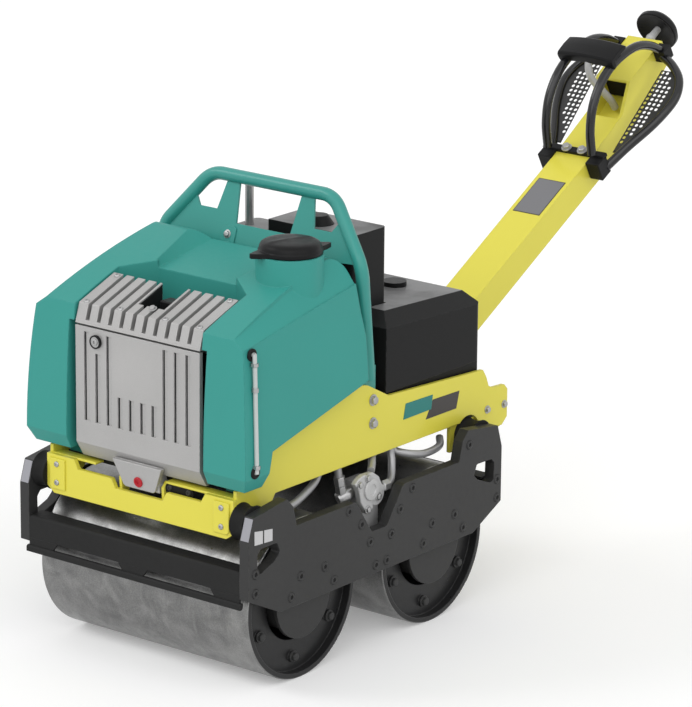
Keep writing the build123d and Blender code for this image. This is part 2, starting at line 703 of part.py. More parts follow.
# Rear beam: box tube, end flanges with the pads for the rear mounts, the drawbar's ears and stop
stop_near_x = BAR_PIVOT_X - STOP_NEAR
stop_far_x = BAR_PIVOT_X - STOP_FAR
with BuildPart() as rear_beam:
    with BuildSketch(side_plane(0)):
        with Locations(((REAR_BEAM_FRONT_X + REAR_BEAM_BACK_X) / 2, REAR_BEAM_LOW_Z + REAR_BEAM_H / 2)):
            Rectangle(REAR_BEAM_FRONT_X - REAR_BEAM_BACK_X, REAR_BEAM_H)
    extrude(amount=UPPER_IN, both=True)
    for sign in (1, -1):
        with BuildSketch(side_plane(sign * (UPPER_IN - FLANGE_PLATE_T / 2))):
            with BuildLine():
                Polyline(
                    (REAR_BEAM_BACK_X, REAR_BEAM_LOW_Z), (REAR_BEAM_BACK_X, FLANGE_TOP_Z),
                    (REAR_BEAM_FRONT_X, FLANGE_TOP_Z), (-MOUNT_X - PAD_HALF_X, MOUNT_Z + PAD_HALF_Z),
                    (-MOUNT_X + PAD_HALF_X, MOUNT_Z + PAD_HALF_Z),
                    (-MOUNT_X + PAD_HALF_X, MOUNT_Z - PAD_HALF_Z),
                    (-MOUNT_X - PAD_HALF_X, MOUNT_Z - PAD_HALF_Z), close=True,
                )
            make_face()
        extrude(amount=FLANGE_PLATE_T / 2, both=True)
        with BuildSketch(side_plane(sign * (EAR_Y + EAR_T / 2))):
            with BuildLine():
                Polyline(
                    (BAR_PIVOT_X + EAR_R, BAR_PIVOT_Z), (BAR_PIVOT_X + EAR_R, REAR_BEAM_LOW_Z),
                    (BAR_PIVOT_X - EAR_R, REAR_BEAM_LOW_Z), (BAR_PIVOT_X - EAR_R, BAR_PIVOT_Z),
                )
                ThreePointArc(
                    (BAR_PIVOT_X - EAR_R, BAR_PIVOT_Z), (BAR_PIVOT_X, BAR_PIVOT_Z + EAR_R),
                    (BAR_PIVOT_X + EAR_R, BAR_PIVOT_Z),
                )
            make_face()
        extrude(amount=EAR_T / 2, both=True)
    with BuildSketch(side_plane(0)):
        with BuildLine():
            Polyline(
                (REAR_BEAM_BACK_X, REAR_BEAM_LOW_Z), (REAR_BEAM_BACK_X, REAR_BEAM_LOW_Z + REAR_BEAM_H),
                (stop_near_x, bar_underside(stop_near_x)), (stop_far_x, bar_underside(stop_far_x)),
                (stop_far_x, bar_underside(stop_far_x) - STOP_T), close=True,
            )
        make_face()
    extrude(amount=STOP_HALF_Y, both=True)
    with BuildSketch(side_plane(0)):
        with Locations((BAR_PIVOT_X, BAR_PIVOT_Z)):
            Circle(PIN_R)
    extrude(amount=EAR_Y + 2 * EAR_T, both=True, mode=Mode.SUBTRACT)
write(rear_beam, "rear_beam")

# Water tank: side outline across the width, sides drawn in, shoulders bevelled by a ruled face,
# then the trough in the top, the engine's bay and the mouth for the front cover cut out
tank_front_x = HALF_L - TANK_FRONT_L
shoulder_y = TANK_HALF_Y - TANK_LEAN
shoulder_z = TANK_BROW_Z - CREASE_DROP
tank_brow = (TANK_BROW_X, TANK_BROW_Z)
tank_rise = tan(radians(TANK_RISE))
corner_x = TANK_BACK_X + (TANK_TOP_Z - TANK_BACK_Z) * tan(radians(TANK_BACK_LEAN))
with BuildPart() as tank:
    with BuildSketch(side_plane(0)):
        with BuildLine():
            ThreePointArc(
                tank_brow,
                ((TANK_BROW_X + tank_front_x) / 2 + TANK_SWELL, (TANK_BROW_Z + TANK_BULGE_Z) / 2),
                (tank_front_x, TANK_BULGE_Z),
            )
            Polyline(
                (tank_front_x, TANK_BULGE_Z), (tank_front_x - TANK_TUCK, TANK_LOW_Z),
                (HALF_L - TANK_TOE_L, TANK_LOW_Z), (HALF_L - TANK_HEEL_L, TANK_HEEL_Z),
                (TANK_BACK_X, TANK_TAIL_Z), (TANK_BACK_X, TANK_BACK_Z), (corner_x, TANK_TOP_Z),
            )
            ThreePointArc(
                (corner_x, TANK_TOP_Z), (HALF_L - TANK_CROWN_L, TANK_CROWN_Z), tank_brow,
            )
        make_face()
    extrude(amount=TANK_HALF_Y, both=True)
    with BuildSketch(cross_plane(0)):
        with BuildLine():
            ThreePointArc(
                (TANK_HALF_Y, TANK_BULGE_Z),
                ((TANK_HALF_Y + shoulder_y) / 2 + TANK_SWELL, (TANK_BULGE_Z + shoulder_z) / 2),
                (shoulder_y, shoulder_z),
            )
            Polyline(
                (shoulder_y, shoulder_z), (shoulder_y - TANK_LEAN, CLEAR_Z), (0, CLEAR_Z),
                (0, TANK_LOW_Z), (TANK_HALF_Y - TANK_TUCK, TANK_LOW_Z), (TANK_HALF_Y, TANK_BULGE_Z),
            )
        make_face()
        mirror(about=Plane.YZ)
    extrude(amount=HALF_L, mode=Mode.INTERSECT)
    back_edge = tank.edges().filter_by(Axis.Y).sort_by(Axis.Z)[-1]
    fillet(back_edge, radius=TANK_BACK_ROUND)
    for sign in (1, -1):
        for x in (HALF_L, 0):
            back = TANK_BROW_X - x
            ridge_y = TANK_HALF_Y - RIDGE_IN - back * tan(radians(RIDGE_TAPER))
            ridge_z = TANK_BROW_Z + back * tank_rise
            crease_y = shoulder_y - back * tan(radians(CREASE_TAPER))
            crease_z = shoulder_z + back * tan(radians(CREASE_RISE))
            with BuildSketch(cross_plane(x)):
                with BuildLine():
                    Polyline(
                        (sign * ridge_y, ridge_z), (sign * crease_y, crease_z),
                        (sign * (TANK_HALF_Y + RIDGE_IN), crease_z),
                        (sign * (TANK_HALF_Y + RIDGE_IN), CLEAR_Z), (sign * ridge_y, CLEAR_Z),
                        close=True,
                    )
                make_face()
        loft(ruled=True, mode=Mode.SUBTRACT)
    for x, flare in ((TROUGH_X, TROUGH_FRONT_FLARE), (0, TROUGH_BACK_FLARE)):
        floor_z = TROUGH_Z + (TROUGH_X - x) * tan(radians(TROUGH_RISE))
        rim_y = TROUGH_HALF_Y + TROUGH_H * tan(radians(flare))
        with BuildSketch(cross_plane(x)):
            with BuildLine():
                Polyline(
                    (TROUGH_HALF_Y, floor_z), (rim_y, floor_z + TROUGH_H),
                    (-rim_y, floor_z + TROUGH_H), (-TROUGH_HALF_Y, floor_z), close=True,
                )
            make_face()
    loft(ruled=True, mode=Mode.SUBTRACT)
    with BuildSketch(level_plane(TANK_LOW_Z)):
        with Locations(((tank_front_x + TANK_BACK_X) / 2, 0)):
            Rectangle(tank_front_x - TANK_BACK_X, 2 * BAY_HALF_Y)
    extrude(amount=BAY_TOP_Z - TANK_LOW_Z, mode=Mode.SUBTRACT)
    with BuildSketch(level_plane(TANK_LOW_Z)):
        with BuildLine():
            Polyline(
                (HALF_L, MOUTH_HALF_Y), (HALF_L - MOUTH_L, MOUTH_HALF_Y), (TROUGH_X, TROUGH_HALF_Y),
                (TROUGH_X, -TROUGH_HALF_Y), (HALF_L - MOUTH_L, -MOUTH_HALF_Y), (HALF_L, -MOUTH_HALF_Y),
                close=True,
            )
        make_face()
    extrude(amount=CLEAR_Z, mode=Mode.SUBTRACT)
    with BuildSketch(level_plane(BED_TOP_Z)):
        lobe_out = UPPER_IN - SIDE_PLAY
        with Locations((LOBE_X, (BAY_HALF_Y + lobe_out) / 2), (LOBE_X, -(BAY_HALF_Y + lobe_out) / 2)):
            Rectangle(LOBE_L, lobe_out - BAY_HALF_Y)
    extrude(amount=LOBE_H)
    with BuildSketch(level_plane(NECK_TOP_Z)):
        with Locations((NECK_X, TANK_HALF_Y - NECK_IN)):
            Circle(NECK_R)
    extrude(amount=-NECK_H)
write(tank, "water_tank")

# Filler cap with its two finger lugs
with BuildPart() as cap:
    with BuildSketch(level_plane(NECK_TOP_Z)):
        with Locations((NECK_X, TANK_HALF_Y - NECK_IN)):
            Circle(CAP_R)
            SlotOverall(2 * CAP_LUG_REACH, CAP_LUG_W, rotation=CAP_LUG_TURN)
    extrude(amount=CAP_T)
write(cap, "filler_cap")

# Level tube on the tank's left side, between two grommets
tube_x = HALF_L - TUBE_L
tube_y = TANK_HALF_Y + TUBE_OUT
with BuildPart() as level_tube:
    with BuildSketch(level_plane(TUBE_LOW_Z)):
        with Locations((tube_x, tube_y)):
            Circle(TUBE_R)
    extrude(amount=TUBE_TOP_Z - TUBE_LOW_Z)
    for z in (TUBE_LOW_Z, TUBE_TOP_Z):
        with BuildSketch(side_plane(tube_y)):
            with Locations((tube_x, z)):
                Circle(TUBE_R)
        extrude(amount=TUBE_STUB)
    add(tank.part, mode=Mode.SUBTRACT)
write(level_tube, "level_tube")

# Upper front casting with its slats, standing on the engine
slat_rows = [(i - (SLATS - 1) / 2) * SLAT_PITCH for i in range(SLATS)]
seam_top = COVER_SEAM_Z + SEAM_GAP
with BuildPart() as hood:
    with BuildSketch(side_plane(0)):
        with BuildLine():
            Polyline(
                (COVER_X, seam_top), (COVER_BROW_X, COVER_BROW_Z), (COVER_BACK_X, COVER_BACK_Z),
                (COVER_BACK_X, ENGINE_TOP_Z), (ENGINE_FRONT_X, ENGINE_TOP_Z), (ENGINE_FRONT_X, seam_top),
                close=True,
            )
        make_face()
    extrude(amount=COVER_HALF_Y, both=True)
    with BuildSketch(side_plane(0), mode=Mode.PRIVATE) as groove:
        with BuildLine():
            Polyline(
                (COVER_X, seam_top + SLAT_END), (COVER_X, COVER_BROW_Z),
                (COVER_BROW_X, COVER_BROW_Z + SLAT_DEPTH), (COVER_BACK_X, COVER_BACK_Z + SLAT_DEPTH),
                (COVER_BACK_X, COVER_BACK_Z - SLAT_DEPTH),
                (COVER_BROW_X - SLAT_DEPTH, COVER_BROW_Z - SLAT_DEPTH),
                (COVER_X - 1.3 * SLAT_DEPTH, seam_top + SLAT_END), close=True,
            )
        make_face()
    for y in slat_rows:
        extrude(Location((0, y, 0)) * groove.sketch, amount=SLAT_W / 2, both=True, mode=Mode.SUBTRACT)
    with BuildSketch(level_plane(COVER_BROW_Z - SLAT_DEPTH)):
        with Locations((COVER_BACK_X + (COVER_BACK_L - POCKET_L) / 2, 0)):
            Rectangle(COVER_BACK_L - POCKET_L, 2 * POCKET_HALF_Y)
    extrude(amount=CLEAR_Z, mode=Mode.SUBTRACT)
write(hood, "slatted_hood")

# Lower front casting, a grooved panel with a smooth field in the middle, hinged at its tab
tab_face_x = COVER_X - TAB_BACK
lock_y = -(COVER_HALF_Y - LOCK_IN)
with BuildPart() as cover:
    with BuildSketch(side_plane(0)):
        with BuildLine():
            Polyline(
                (COVER_X, COVER_SEAM_Z), (COVER_X, JAW_Z), (CHIN_X, CHIN_Z),
                (CHIN_X - COVER_WALL, CHIN_Z), (COVER_X - COVER_WALL, JAW_Z + COVER_WALL / 2),
                (COVER_X - COVER_WALL, COVER_SEAM_Z), close=True,
            )
        make_face()
    extrude(amount=COVER_HALF_Y, both=True)
    for y in slat_rows:
        groove_top = COVER_SEAM_Z - GROOVE_END
        if abs(y) < SIGN_HALF_Y:
            groove_top = SIGN_LOW_Z
        if abs(y - lock_y) < LOCK_R:
            groove_top = LOCK_Z - 2 * LOCK_R
        with BuildSketch(cross_plane(COVER_X)):
            with Locations((y, (groove_top + GROOVE_LOW_Z) / 2)):
                Rectangle(GROOVE_W, groove_top - GROOVE_LOW_Z)
        extrude(amount=-GROOVE_DEPTH, mode=Mode.SUBTRACT)
    with BuildSketch(side_plane(0)):
        with BuildLine():
            Polyline(
                (CHIN_X - COVER_WALL, CHIN_Z), (COVER_X - TAB_STEP, JAW_Z - KNUCKLE_R),
                (tab_face_x, HINGE_Z), (tab_face_x - TAB_STEP / 2, HINGE_Z - KNUCKLE_R),
                (HINGE_X, HINGE_Z - KNUCKLE_R), (HINGE_X - KNUCKLE_R, HINGE_Z), close=True,
            )
        make_face()
        with Locations((HINGE_X, HINGE_Z)):
            Circle(KNUCKLE_R)
            Circle(HINGE_R + HINGE_PLAY, mode=Mode.SUBTRACT)
    extrude(amount=HINGE_LUG_Y - HINGE_LUG_T / 2 - SIDE_PLAY, both=True)
write(cover, "front_cover")
with BuildPart() as lock:
    with BuildSketch(cross_plane(COVER_X)):
        with Locations((lock_y, LOCK_Z)):
            Circle(LOCK_R)
    extrude(amount=LOCK_T)
write(lock, "cover_lock")
with BuildPart() as plug:
    with BuildSketch(cross_plane(tab_face_x)):
        with Locations((0, HINGE_Z)):
            Circle(PLUG_R)
    extrude(amount=PLUG_T)
    add(cover.part, mode=Mode.SUBTRACT)
write(plug, "tab_plug")

# Lifting hoop: shoes against the upper frame, legs that lean out to the knees, and a top bar
hoop_half = (
    (HOOP_FOOT_X, UPPER_Y - HOOP_FOOT_IN, HOOP_FOOT_Z), (HOOP_KNEE_X, HOOP_KNEE_Y, HOOP_KNEE_Z),
    (HOOP_TOP_X, HOOP_TOP_Y, HOOP_TOP_Z),
)
hoop_points = [Vector(MID_X + x, y, DRUM_R + z) for x, y, z in hoop_half]
hoop_points += [Vector(p.X, -p.Y, p.Z) for p in reversed(hoop_points)]
with BuildPart() as hoop:
    with BuildLine() as hoop_path:
        FilletPolyline(*hoop_points, radius=HOOP_BEND)
    with BuildSketch(Plane(origin=hoop_points[0], z_dir=hoop_path.line % 0)):
        Circle(HOOP_R)
    sweep(path=hoop_path.line)
    with BuildSketch(level_plane(SHOE_LOW_Z)):
        shoe_y = UPPER_IN - SHOE_T / 2
        with Locations((HOOP_FOOT_X, shoe_y), (HOOP_FOOT_X, -shoe_y)):
            Rectangle(SHOE_W, SHOE_T)
    extrude(amount=SHOE_H)
write(hoop, "lifting_hoop")

# Sheet panel in the hoop's leaning plane, with two prongs up to the bar: (left, up from the bar)
lean = Vector(HOOP_TOP_X - HOOP_KNEE_X, 0, HOOP_TOP_Z - HOOP_KNEE_Z).normalized()
panel_plane = Plane(
    origin=(MID_X + HOOP_TOP_X, 0, DRUM_R + HOOP_TOP_Z), x_dir=(0, 1, 0),
    z_dir=Vector(0, 1, 0).cross(lean),
)
corner_y = HOOP_KNEE_Y - PANEL_CORNER
dip_y = HOOP_TOP_Y + DIP_OUT
prong_y = HOOP_TOP_Y - PRONG_OUT
with BuildPart() as panel:
    with BuildSketch(panel_plane):
        with BuildLine():
            Polyline(
                (0, PANEL_LOW), (corner_y, PANEL_SIDE), (corner_y - PANEL_SLANT, PANEL_EDGE),
                (HOOP_TOP_Y + EAR_OUT, PANEL_EAR), (dip_y, PANEL_DIP), (dip_y - DIP_W, PANEL_DIP),
                (prong_y, 0), (prong_y - PRONG_W, 0), (prong_y - PRONG_W - PRONG_SPREAD, PANEL_SILL),
                (0, PANEL_SILL), close=True,
            )
        make_face()
        mirror(about=Plane.YZ)
    extrude(amount=PANEL_T / 2, both=True)
    add(hoop.part, mode=Mode.SUBTRACT)
    add(tank.part, mode=Mode.SUBTRACT)
write(panel, "hoop_panel")

# Housing behind the hoop, and the rear box that wraps round it
with BuildPart() as housing:
    with BuildSketch(level_plane(BED_TOP_Z)):
        with Locations(((HOUSING_FRONT_X + HOUSING_BACK_X) / 2, 0)):
            RectangleRounded(HOUSING_FRONT_X - HOUSING_BACK_X, 2 * HOUSING_HALF_Y, HOUSING_ROUND)
    extrude(amount=HOUSING_TOP_Z - BED_TOP_Z)
    with BuildSketch(cross_plane(HOUSING_BACK_X)):
        with Locations((HOUSING_STEP_Y - HOUSING_HALF_Y, HOUSING_TOP_Z)):
            Rectangle(2 * HOUSING_HALF_Y, 2 * HOUSING_STEP)
    extrude(amount=HOUSING_FRONT_X - HOUSING_BACK_X, mode=Mode.SUBTRACT)
write(housing, "rear_housing")
with BuildPart() as rear_box:
    with BuildSketch(side_plane(0)):
        with BuildLine():
            Polyline(
                (BOX_FRONT_X, BOX_LOW_Z), (BOX_FRONT_X, BOX_TOP_Z), (BOX_BACK_X, BOX_TOP_Z - BOX_FALL),
                (BOX_BACK_X, BOX_LOW_Z), close=True,
            )
        make_face()
    extrude(amount=BOX_HALF_Y, both=True)
    chamfer(rear_box.faces().sort_by(Axis.Z)[-1].edges(), length=BOX_BEVEL)
    fillet(rear_box.edges().filter_by(Axis.Z).group_by(Axis.X)[0], radius=BOX_ROUND)
    with BuildSketch(level_plane(BED_TOP_Z)):
        with Locations(((BOX_FRONT_X + BOX_BACK_X) / 2, 0)):
            Rectangle(BOX_FRONT_X - BOX_BACK_X, 2 * (UPPER_IN - SIDE_PLAY))
    extrude(amount=BOX_LOW_Z - BED_TOP_Z)
    with BuildSketch(level_plane(BED_TOP_Z)):
        with Locations(((HOUSING_FRONT_X + HOUSING_BACK_X) / 2, 0)):
            Rectangle(
                HOUSING_FRONT_X - HOUSING_BACK_X + 2 * BOX_GAP, 2 * (HOUSING_HALF_Y + BOX_GAP)
            )
    extrude(amount=BOX_TOP_Z, mode=Mode.SUBTRACT)
write(rear_box, "rear_box")
with BuildPart() as box_cap:
    with BuildSketch(level_plane(BOX_TOP_Z - BOX_FALL)):
        with Locations((BOX_CAP_X, BOX_CAP_Y)):
            Circle(FILLER_R)
    extrude(amount=BOX_CAP_T + BOX_FALL / 2)
    add(rear_box.part, mode=Mode.SUBTRACT)
write(box_cap, "rear_box_cap")
with BuildPart() as dome:
    with BuildSketch(level_plane(HOUSING_TOP_Z)):
        with Locations((DOME_X, DOME_Y)):
            Circle(DOME_R)
    extrude(amount=DOME_H, taper=DOME_TAPER)
write(dome, "housing_dome")
with BuildPart() as post:
    with BuildSketch(level_plane(HOUSING_TOP_Z - HOUSING_STEP)):
        with Locations((POST_X, POST_Y)):
            Circle(POST_R)
    extrude(amount=POST_H)
write(post, "exhaust_post")

# Hydraulic motor on the cross tube, in the notch of the left side plate
motor_y = PLATE_IN - MOTOR_IN
with BuildPart() as motor:
    with BuildSketch(level_plane(CROSS_LOW_Z + CROSS_H)):
        with Locations((MOTOR_X, motor_y)):
            Rectangle(MOTOR_W, MOTOR_W)
    extrude(amount=MOTOR_H)
    with BuildSketch(side_plane(motor_y)):
        with Locations((MOTOR_X, CROSS_LOW_Z + CROSS_H + MOTOR_H - MOTOR_R)):
            Circle(MOTOR_R)
    extrude(amount=-MOTOR_REACH)
write(motor, "drive_motor")

# Drawbar: box tube with two cheeks on the pin
with BuildPart() as bar:
    with BuildSketch(bar_plane(0)):
        with Locations(((BAR_START + BAR_L) / 2, 0)):
            Rectangle(BAR_L - BAR_START, BAR_DEPTH)
    extrude(amount=BAR_HALF_Y, both=True)
    with BuildSketch(bar_plane(0)):
        with BuildLine():
            Polyline((BAR_START, CHEEK_R), (0, CHEEK_R))
            ThreePointArc((0, CHEEK_R), (-CHEEK_R, 0), (0, -CHEEK_R))
            Polyline((0, -CHEEK_R), (BAR_START, -CHEEK_R), (BAR_START, CHEEK_R))
        make_face()
        Circle(PIN_R + PIN_PLAY, mode=Mode.SUBTRACT)
    extrude(amount=BAR_HALF_Y, both=True)
    with BuildSketch(bar_plane(0)):
        with Locations((BAR_START - BAR_DEPTH, 0)):
            Rectangle(2 * BAR_DEPTH, BAR_DEPTH)
    extrude(amount=EAR_Y + EAR_T + EAR_GAP, both=True, mode=Mode.SUBTRACT)
write(bar, "drawbar")
with BuildPart() as pin:
    with BuildSketch(bar_plane(0)):
        Circle(PIN_R)
    extrude(amount=BAR_HALF_Y + EAR_GAP, both=True)
write(pin, "drawbar_pin")

# Head of the drawbar: a casing with an opening in its slanted face for the travel lever
with BuildPart() as head:
    with BuildSketch(bar_plane(0)):
        with BuildLine():
            Polyline(
                (BAR_L, -BAR_DEPTH / 2), (BAR_L, BAR_DEPTH / 2), *head_points(CASING), close=True,
            )
        make_face()
    extrude(amount=BAR_HALF_Y, both=True)
    with BuildSketch(bar_plane(0)):
        with BuildLine():
            Polyline(*head_points(CAVITY), close=True)
        make_face()
    extrude(amount=BAR_HALF_Y - HEAD_WALL, both=True, mode=Mode.SUBTRACT)
write(head, "control_head")

# Tube bows on both sides of the head: one over it, one spreading to the side, joined at the far end
bows = []
for hand, sign in HANDS:
    with BuildPart() as bow:
        with BuildLine(bar_plane(sign * BOW_Y)) as over_path:
            FilletPolyline(*head_points(UPPER_BOW), radius=BOW_BEND)
        with BuildSketch(Plane(origin=over_path.line @ 0, z_dir=over_path.line % 0)):
            Circle(BOW_R)
        sweep(path=over_path.line)
        with BuildLine(guard_plane()) as side_path:
            FilletPolyline(*spread_points(SIDE_BOW, sign), radius=BOW_BEND)
        with BuildSketch(Plane(origin=side_path.line @ 0, z_dir=side_path.line % 0)):
            Circle(BOW_R)
        sweep(path=side_path.line)
    bows.append(bow)
    write(bow, f"handle_bow_{hand}")

# Clamp across the bar for the feet of the bows, and a holder on each side for their far ends
holds = []
with BuildPart() as clamp:
    with BuildSketch(bar_cross_plane(BAR_L - CLAMP_BACK)):
        with BuildLine():
            Polyline(
                (0, BAR_DEPTH / 2), (BAR_HALF_Y, BAR_DEPTH / 2), (BAR_HALF_Y, CLAMP_LOW),
                (CLAMP_HALF_Y, CLAMP_LOW), (CLAMP_HALF_Y, BAR_DEPTH / 2 + CLAMP_T),
                (0, BAR_DEPTH / 2 + CLAMP_T), close=True,
            )
        make_face()
        mirror(about=Plane.YZ)
    extrude(amount=CLAMP_L)
    for bow in bows:
        add(bow.part, mode=Mode.SUBTRACT)
holds.append(clamp)
write(clamp, "lower_clamp")
for hand, sign, bow in (("left", -1, bows[0]), ("right", 1, bows[1])):
    with BuildPart() as holder:
        with BuildSketch(bar_cross_plane(head_s(HOLDER_F))):
            with Locations((sign * (BAR_HALF_Y + HOLDER_W / 2), HOLDER_N)):
                Rectangle(HOLDER_W, HOLDER_H)
        extrude(amount=CLAMP_L)
        add(bow.part, mode=Mode.SUBTRACT)
    holds.append(holder)
    write(holder, f"upper_clamp_{hand}")

# Guards: sheets between the side bows and a straight edge beside the casing
for (hand, sign), bow in zip(HANDS, bows):
    with BuildPart() as guard:
        with BuildSketch(guard_plane()):
            with BuildLine():
                guard_points = spread_points(GUARD, sign)
                Polyline(
                    (guard_points[0][0], sign * GUARD_IN_Y), *guard_points,
                    (guard_points[-1][0], sign * GUARD_IN_Y), close=True,
                )
            make_face()
        extrude(amount=GUARD_T / 2, both=True)
        add(bow.part, mode=Mode.SUBTRACT)
        for hold in holds:
            add(hold.part, mode=Mode.SUBTRACT)
    write(guard, f"guard_{hand}")

# Travel lever with its curved palm grip, and the stop knob at the end of the head
with BuildPart() as lever:
    with BuildSketch(bar_plane(0)):
        with BuildLine():
            Polyline(*head_points(LEVER), close=True)
        make_face()
    extrude(amount=LEVER_T / 2, both=True)
    add(head.part, mode=Mode.SUBTRACT)
write(lever, "travel_lever")
with BuildPart() as grip:
    with BuildSketch(bar_cross_plane(head_s(GRIP_F))):
        with BuildLine():
            ThreePointArc((-GRIP_HALF_Y, GRIP_END_N), (0, GRIP_N), (GRIP_HALF_Y, GRIP_END_N))
            Line((GRIP_HALF_Y, GRIP_END_N), (GRIP_HALF_Y, GRIP_END_N - GRIP_T))
            ThreePointArc(
                (GRIP_HALF_Y, GRIP_END_N - GRIP_T), (0, GRIP_N - GRIP_T),
                (-GRIP_HALF_Y, GRIP_END_N - GRIP_T),
            )
            Line((-GRIP_HALF_Y, GRIP_END_N - GRIP_T), (-GRIP_HALF_Y, GRIP_END_N))
        make_face()
    extrude(amount=GRIP_L)
    add(lever.part, mode=Mode.SUBTRACT)
write(grip, "lever_grip")
with BuildPart() as stop:
    with BuildSketch(bar_plane(0)):
        with BuildLine():
            Polyline(*((HEAD_END + s, KNOB_N + r) for s, r in KNOB), close=True)
        make_face()
    knob_axis = bar_plane(0).from_local_coords(Vector(0, KNOB_N, 0))
    revolve(axis=Axis(knob_axis, bar_plane(0).x_dir))
write(stop, "stop_knob")
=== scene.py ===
# %% [markdown]
# # A walk-behind roller, dressed for its photograph
# The solids of the roller already stand in one frame, with their joints. This script gives them paint,
# rubber, cast metal and worn steel, and adds the small things that are too fine for the solids:
# fasteners, perforated sheets, pipes, fittings and blank signs. Lengths are in millimetres from the
# point on the ground midway between the drums: forward, left, up.

# %% The frame and its measures
import json

import bpy
import numpy as np
from mathutils import Matrix, Vector


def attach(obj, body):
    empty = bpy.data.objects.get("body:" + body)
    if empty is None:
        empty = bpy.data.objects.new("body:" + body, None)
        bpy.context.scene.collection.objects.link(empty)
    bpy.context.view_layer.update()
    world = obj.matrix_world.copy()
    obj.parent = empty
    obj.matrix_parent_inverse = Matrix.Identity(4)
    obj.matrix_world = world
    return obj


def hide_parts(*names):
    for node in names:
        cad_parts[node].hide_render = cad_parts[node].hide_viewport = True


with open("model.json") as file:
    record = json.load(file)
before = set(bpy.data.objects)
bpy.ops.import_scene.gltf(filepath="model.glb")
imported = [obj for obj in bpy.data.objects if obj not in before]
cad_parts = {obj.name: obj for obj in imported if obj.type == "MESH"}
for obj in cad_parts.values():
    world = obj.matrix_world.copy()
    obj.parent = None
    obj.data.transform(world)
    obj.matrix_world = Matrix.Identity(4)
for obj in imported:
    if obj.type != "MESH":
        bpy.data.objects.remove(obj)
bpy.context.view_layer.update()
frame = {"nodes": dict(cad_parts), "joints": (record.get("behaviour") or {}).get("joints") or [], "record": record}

scene = bpy.context.scene
joints = {joint["name"]: np.array(joint["pos_m"]) * 1000 for joint in frame["joints"]}
MID = (joints["front_drum_spin"][0] + joints["rear_drum_spin"][0]) / 2
BAR_TURN = np.radians(29.5)


def at(points):
    """Row-frame metres of points (forward, left, up) measured from between the drums."""
    return (np.asarray(points, float) + [MID, 0, 0]) / 1000


def on_bar(points):
    """Row-frame metres of points (along the drawbar, left, square to it) measured from its pin."""
    along, left, square = np.moveaxis(np.asarray(points, float), -1, 0)
    x = joints["drawbar_lift"][0] - along * np.cos(BAR_TURN) + square * np.sin(BAR_TURN)
    z = joints["drawbar_lift"][2] + along * np.sin(BAR_TURN) + square * np.cos(BAR_TURN)
    return np.stack([x, left, z], -1) / 1000


# %% [markdown]
# ## The camera
# The photograph was taken from far away with a long lens, from the front left and a little above.
# Its place and lens were found by fitting the straight edges of the roller, so here they are numbers.

# %% The camera
SWING, RISE, ROLL = np.radians([38.338, 16.251, 0.521])
EYE = (7396.5, 6099.6, 3478.2)
FOCAL_PIXELS, LONG_SIDE_PIXELS = 4118.83, 707
SENSOR = 36.0
back = np.array([np.cos(SWING) * np.cos(RISE), np.sin(SWING) * np.cos(RISE), np.sin(RISE)])
right = np.array([-np.sin(SWING), np.cos(SWING), 0.0])
up = np.cross(back, right)
right, up = right * np.cos(ROLL) + up * np.sin(ROLL), up * np.cos(ROLL) - right * np.sin(ROLL)
eye = at(EYE)
camera = bpy.data.objects.new("camera", bpy.data.cameras.new("camera"))
camera.data.sensor_width = SENSOR
camera.data.lens = FOCAL_PIXELS / LONG_SIDE_PIXELS * SENSOR
camera.matrix_world = Matrix(np.vstack([np.column_stack([right, up, back, eye]), [0, 0, 0, 1]]).tolist())
scene.collection.objects.link(camera)
scene.camera = camera
scene.view_settings.view_transform = "Standard"
print("camera at", eye.round(2), "lens", round(camera.data.lens, 1))

# %% [markdown]
# ## Studio light and floor
# The roller stands in a white studio: white all round, and four soft distant lights, one over it, two on
# the camera's side and one ahead on the right, which draws the bright band on the drums. The floor
# looks white where it is open and grey where the roller shades it.


# %% Studio and floor
def nodes_of(owner):
    """Empty node tree of a material or world."""
    owner.use_nodes = True
    owner.node_tree.nodes.clear()
    return owner.node_tree


def add(tree, kind, links=None, **settings):
    """One node: settings are its properties, links its input sockets by name, as values or outputs."""
    made = tree.nodes.new(kind)
    for name, value in settings.items():
        setattr(made, name, value)
    for name, value in (links or {}).items():
        socket = made.inputs[name]
        if isinstance(value, bpy.types.NodeSocket):
            tree.links.new(value, socket)
        else:
            socket.default_value = value
    return made


def maths(tree, operation, first, second=0.0, clamp=False):
    """Output of one maths node."""
    links = {0: first, 1: second}
    return add(tree, "ShaderNodeMath", links, operation=operation, use_clamp=clamp).outputs[0]


def seen_directly(tree):
    """1 where the eye looks straight, or in a mirror or through glass; 0 for light on its way."""
    path = add(tree, "ShaderNodeLightPath").outputs
    straight = maths(tree, "ADD", path["Is Camera Ray"], path["Is Glossy Ray"])
    return maths(tree, "ADD", straight, path["Is Transmission Ray"], clamp=True)


WHITE = (1, 1, 1, 1)
AMBIENT = 0.58
FLOOR_PAINT, FLOOR_LIFT = (0.84, 0.84, 0.84, 1), 0.24
FLOOR_CORNERS = [(-60, -60, 0), (60, -60, 0), (60, 60, 0), (-60, 60, 0)]
world = bpy.data.worlds.new("white_studio")
scene.world = world
tree = nodes_of(world)
level = add(tree, "ShaderNodeMapRange", {"Value": seen_directly(tree), "To Min": AMBIENT, "To Max": 1.0})
glow = add(tree, "ShaderNodeBackground", {"Color": WHITE, "Strength": level.outputs[0]})
add(tree, "ShaderNodeOutputWorld", {"Surface": glow.outputs[0]})

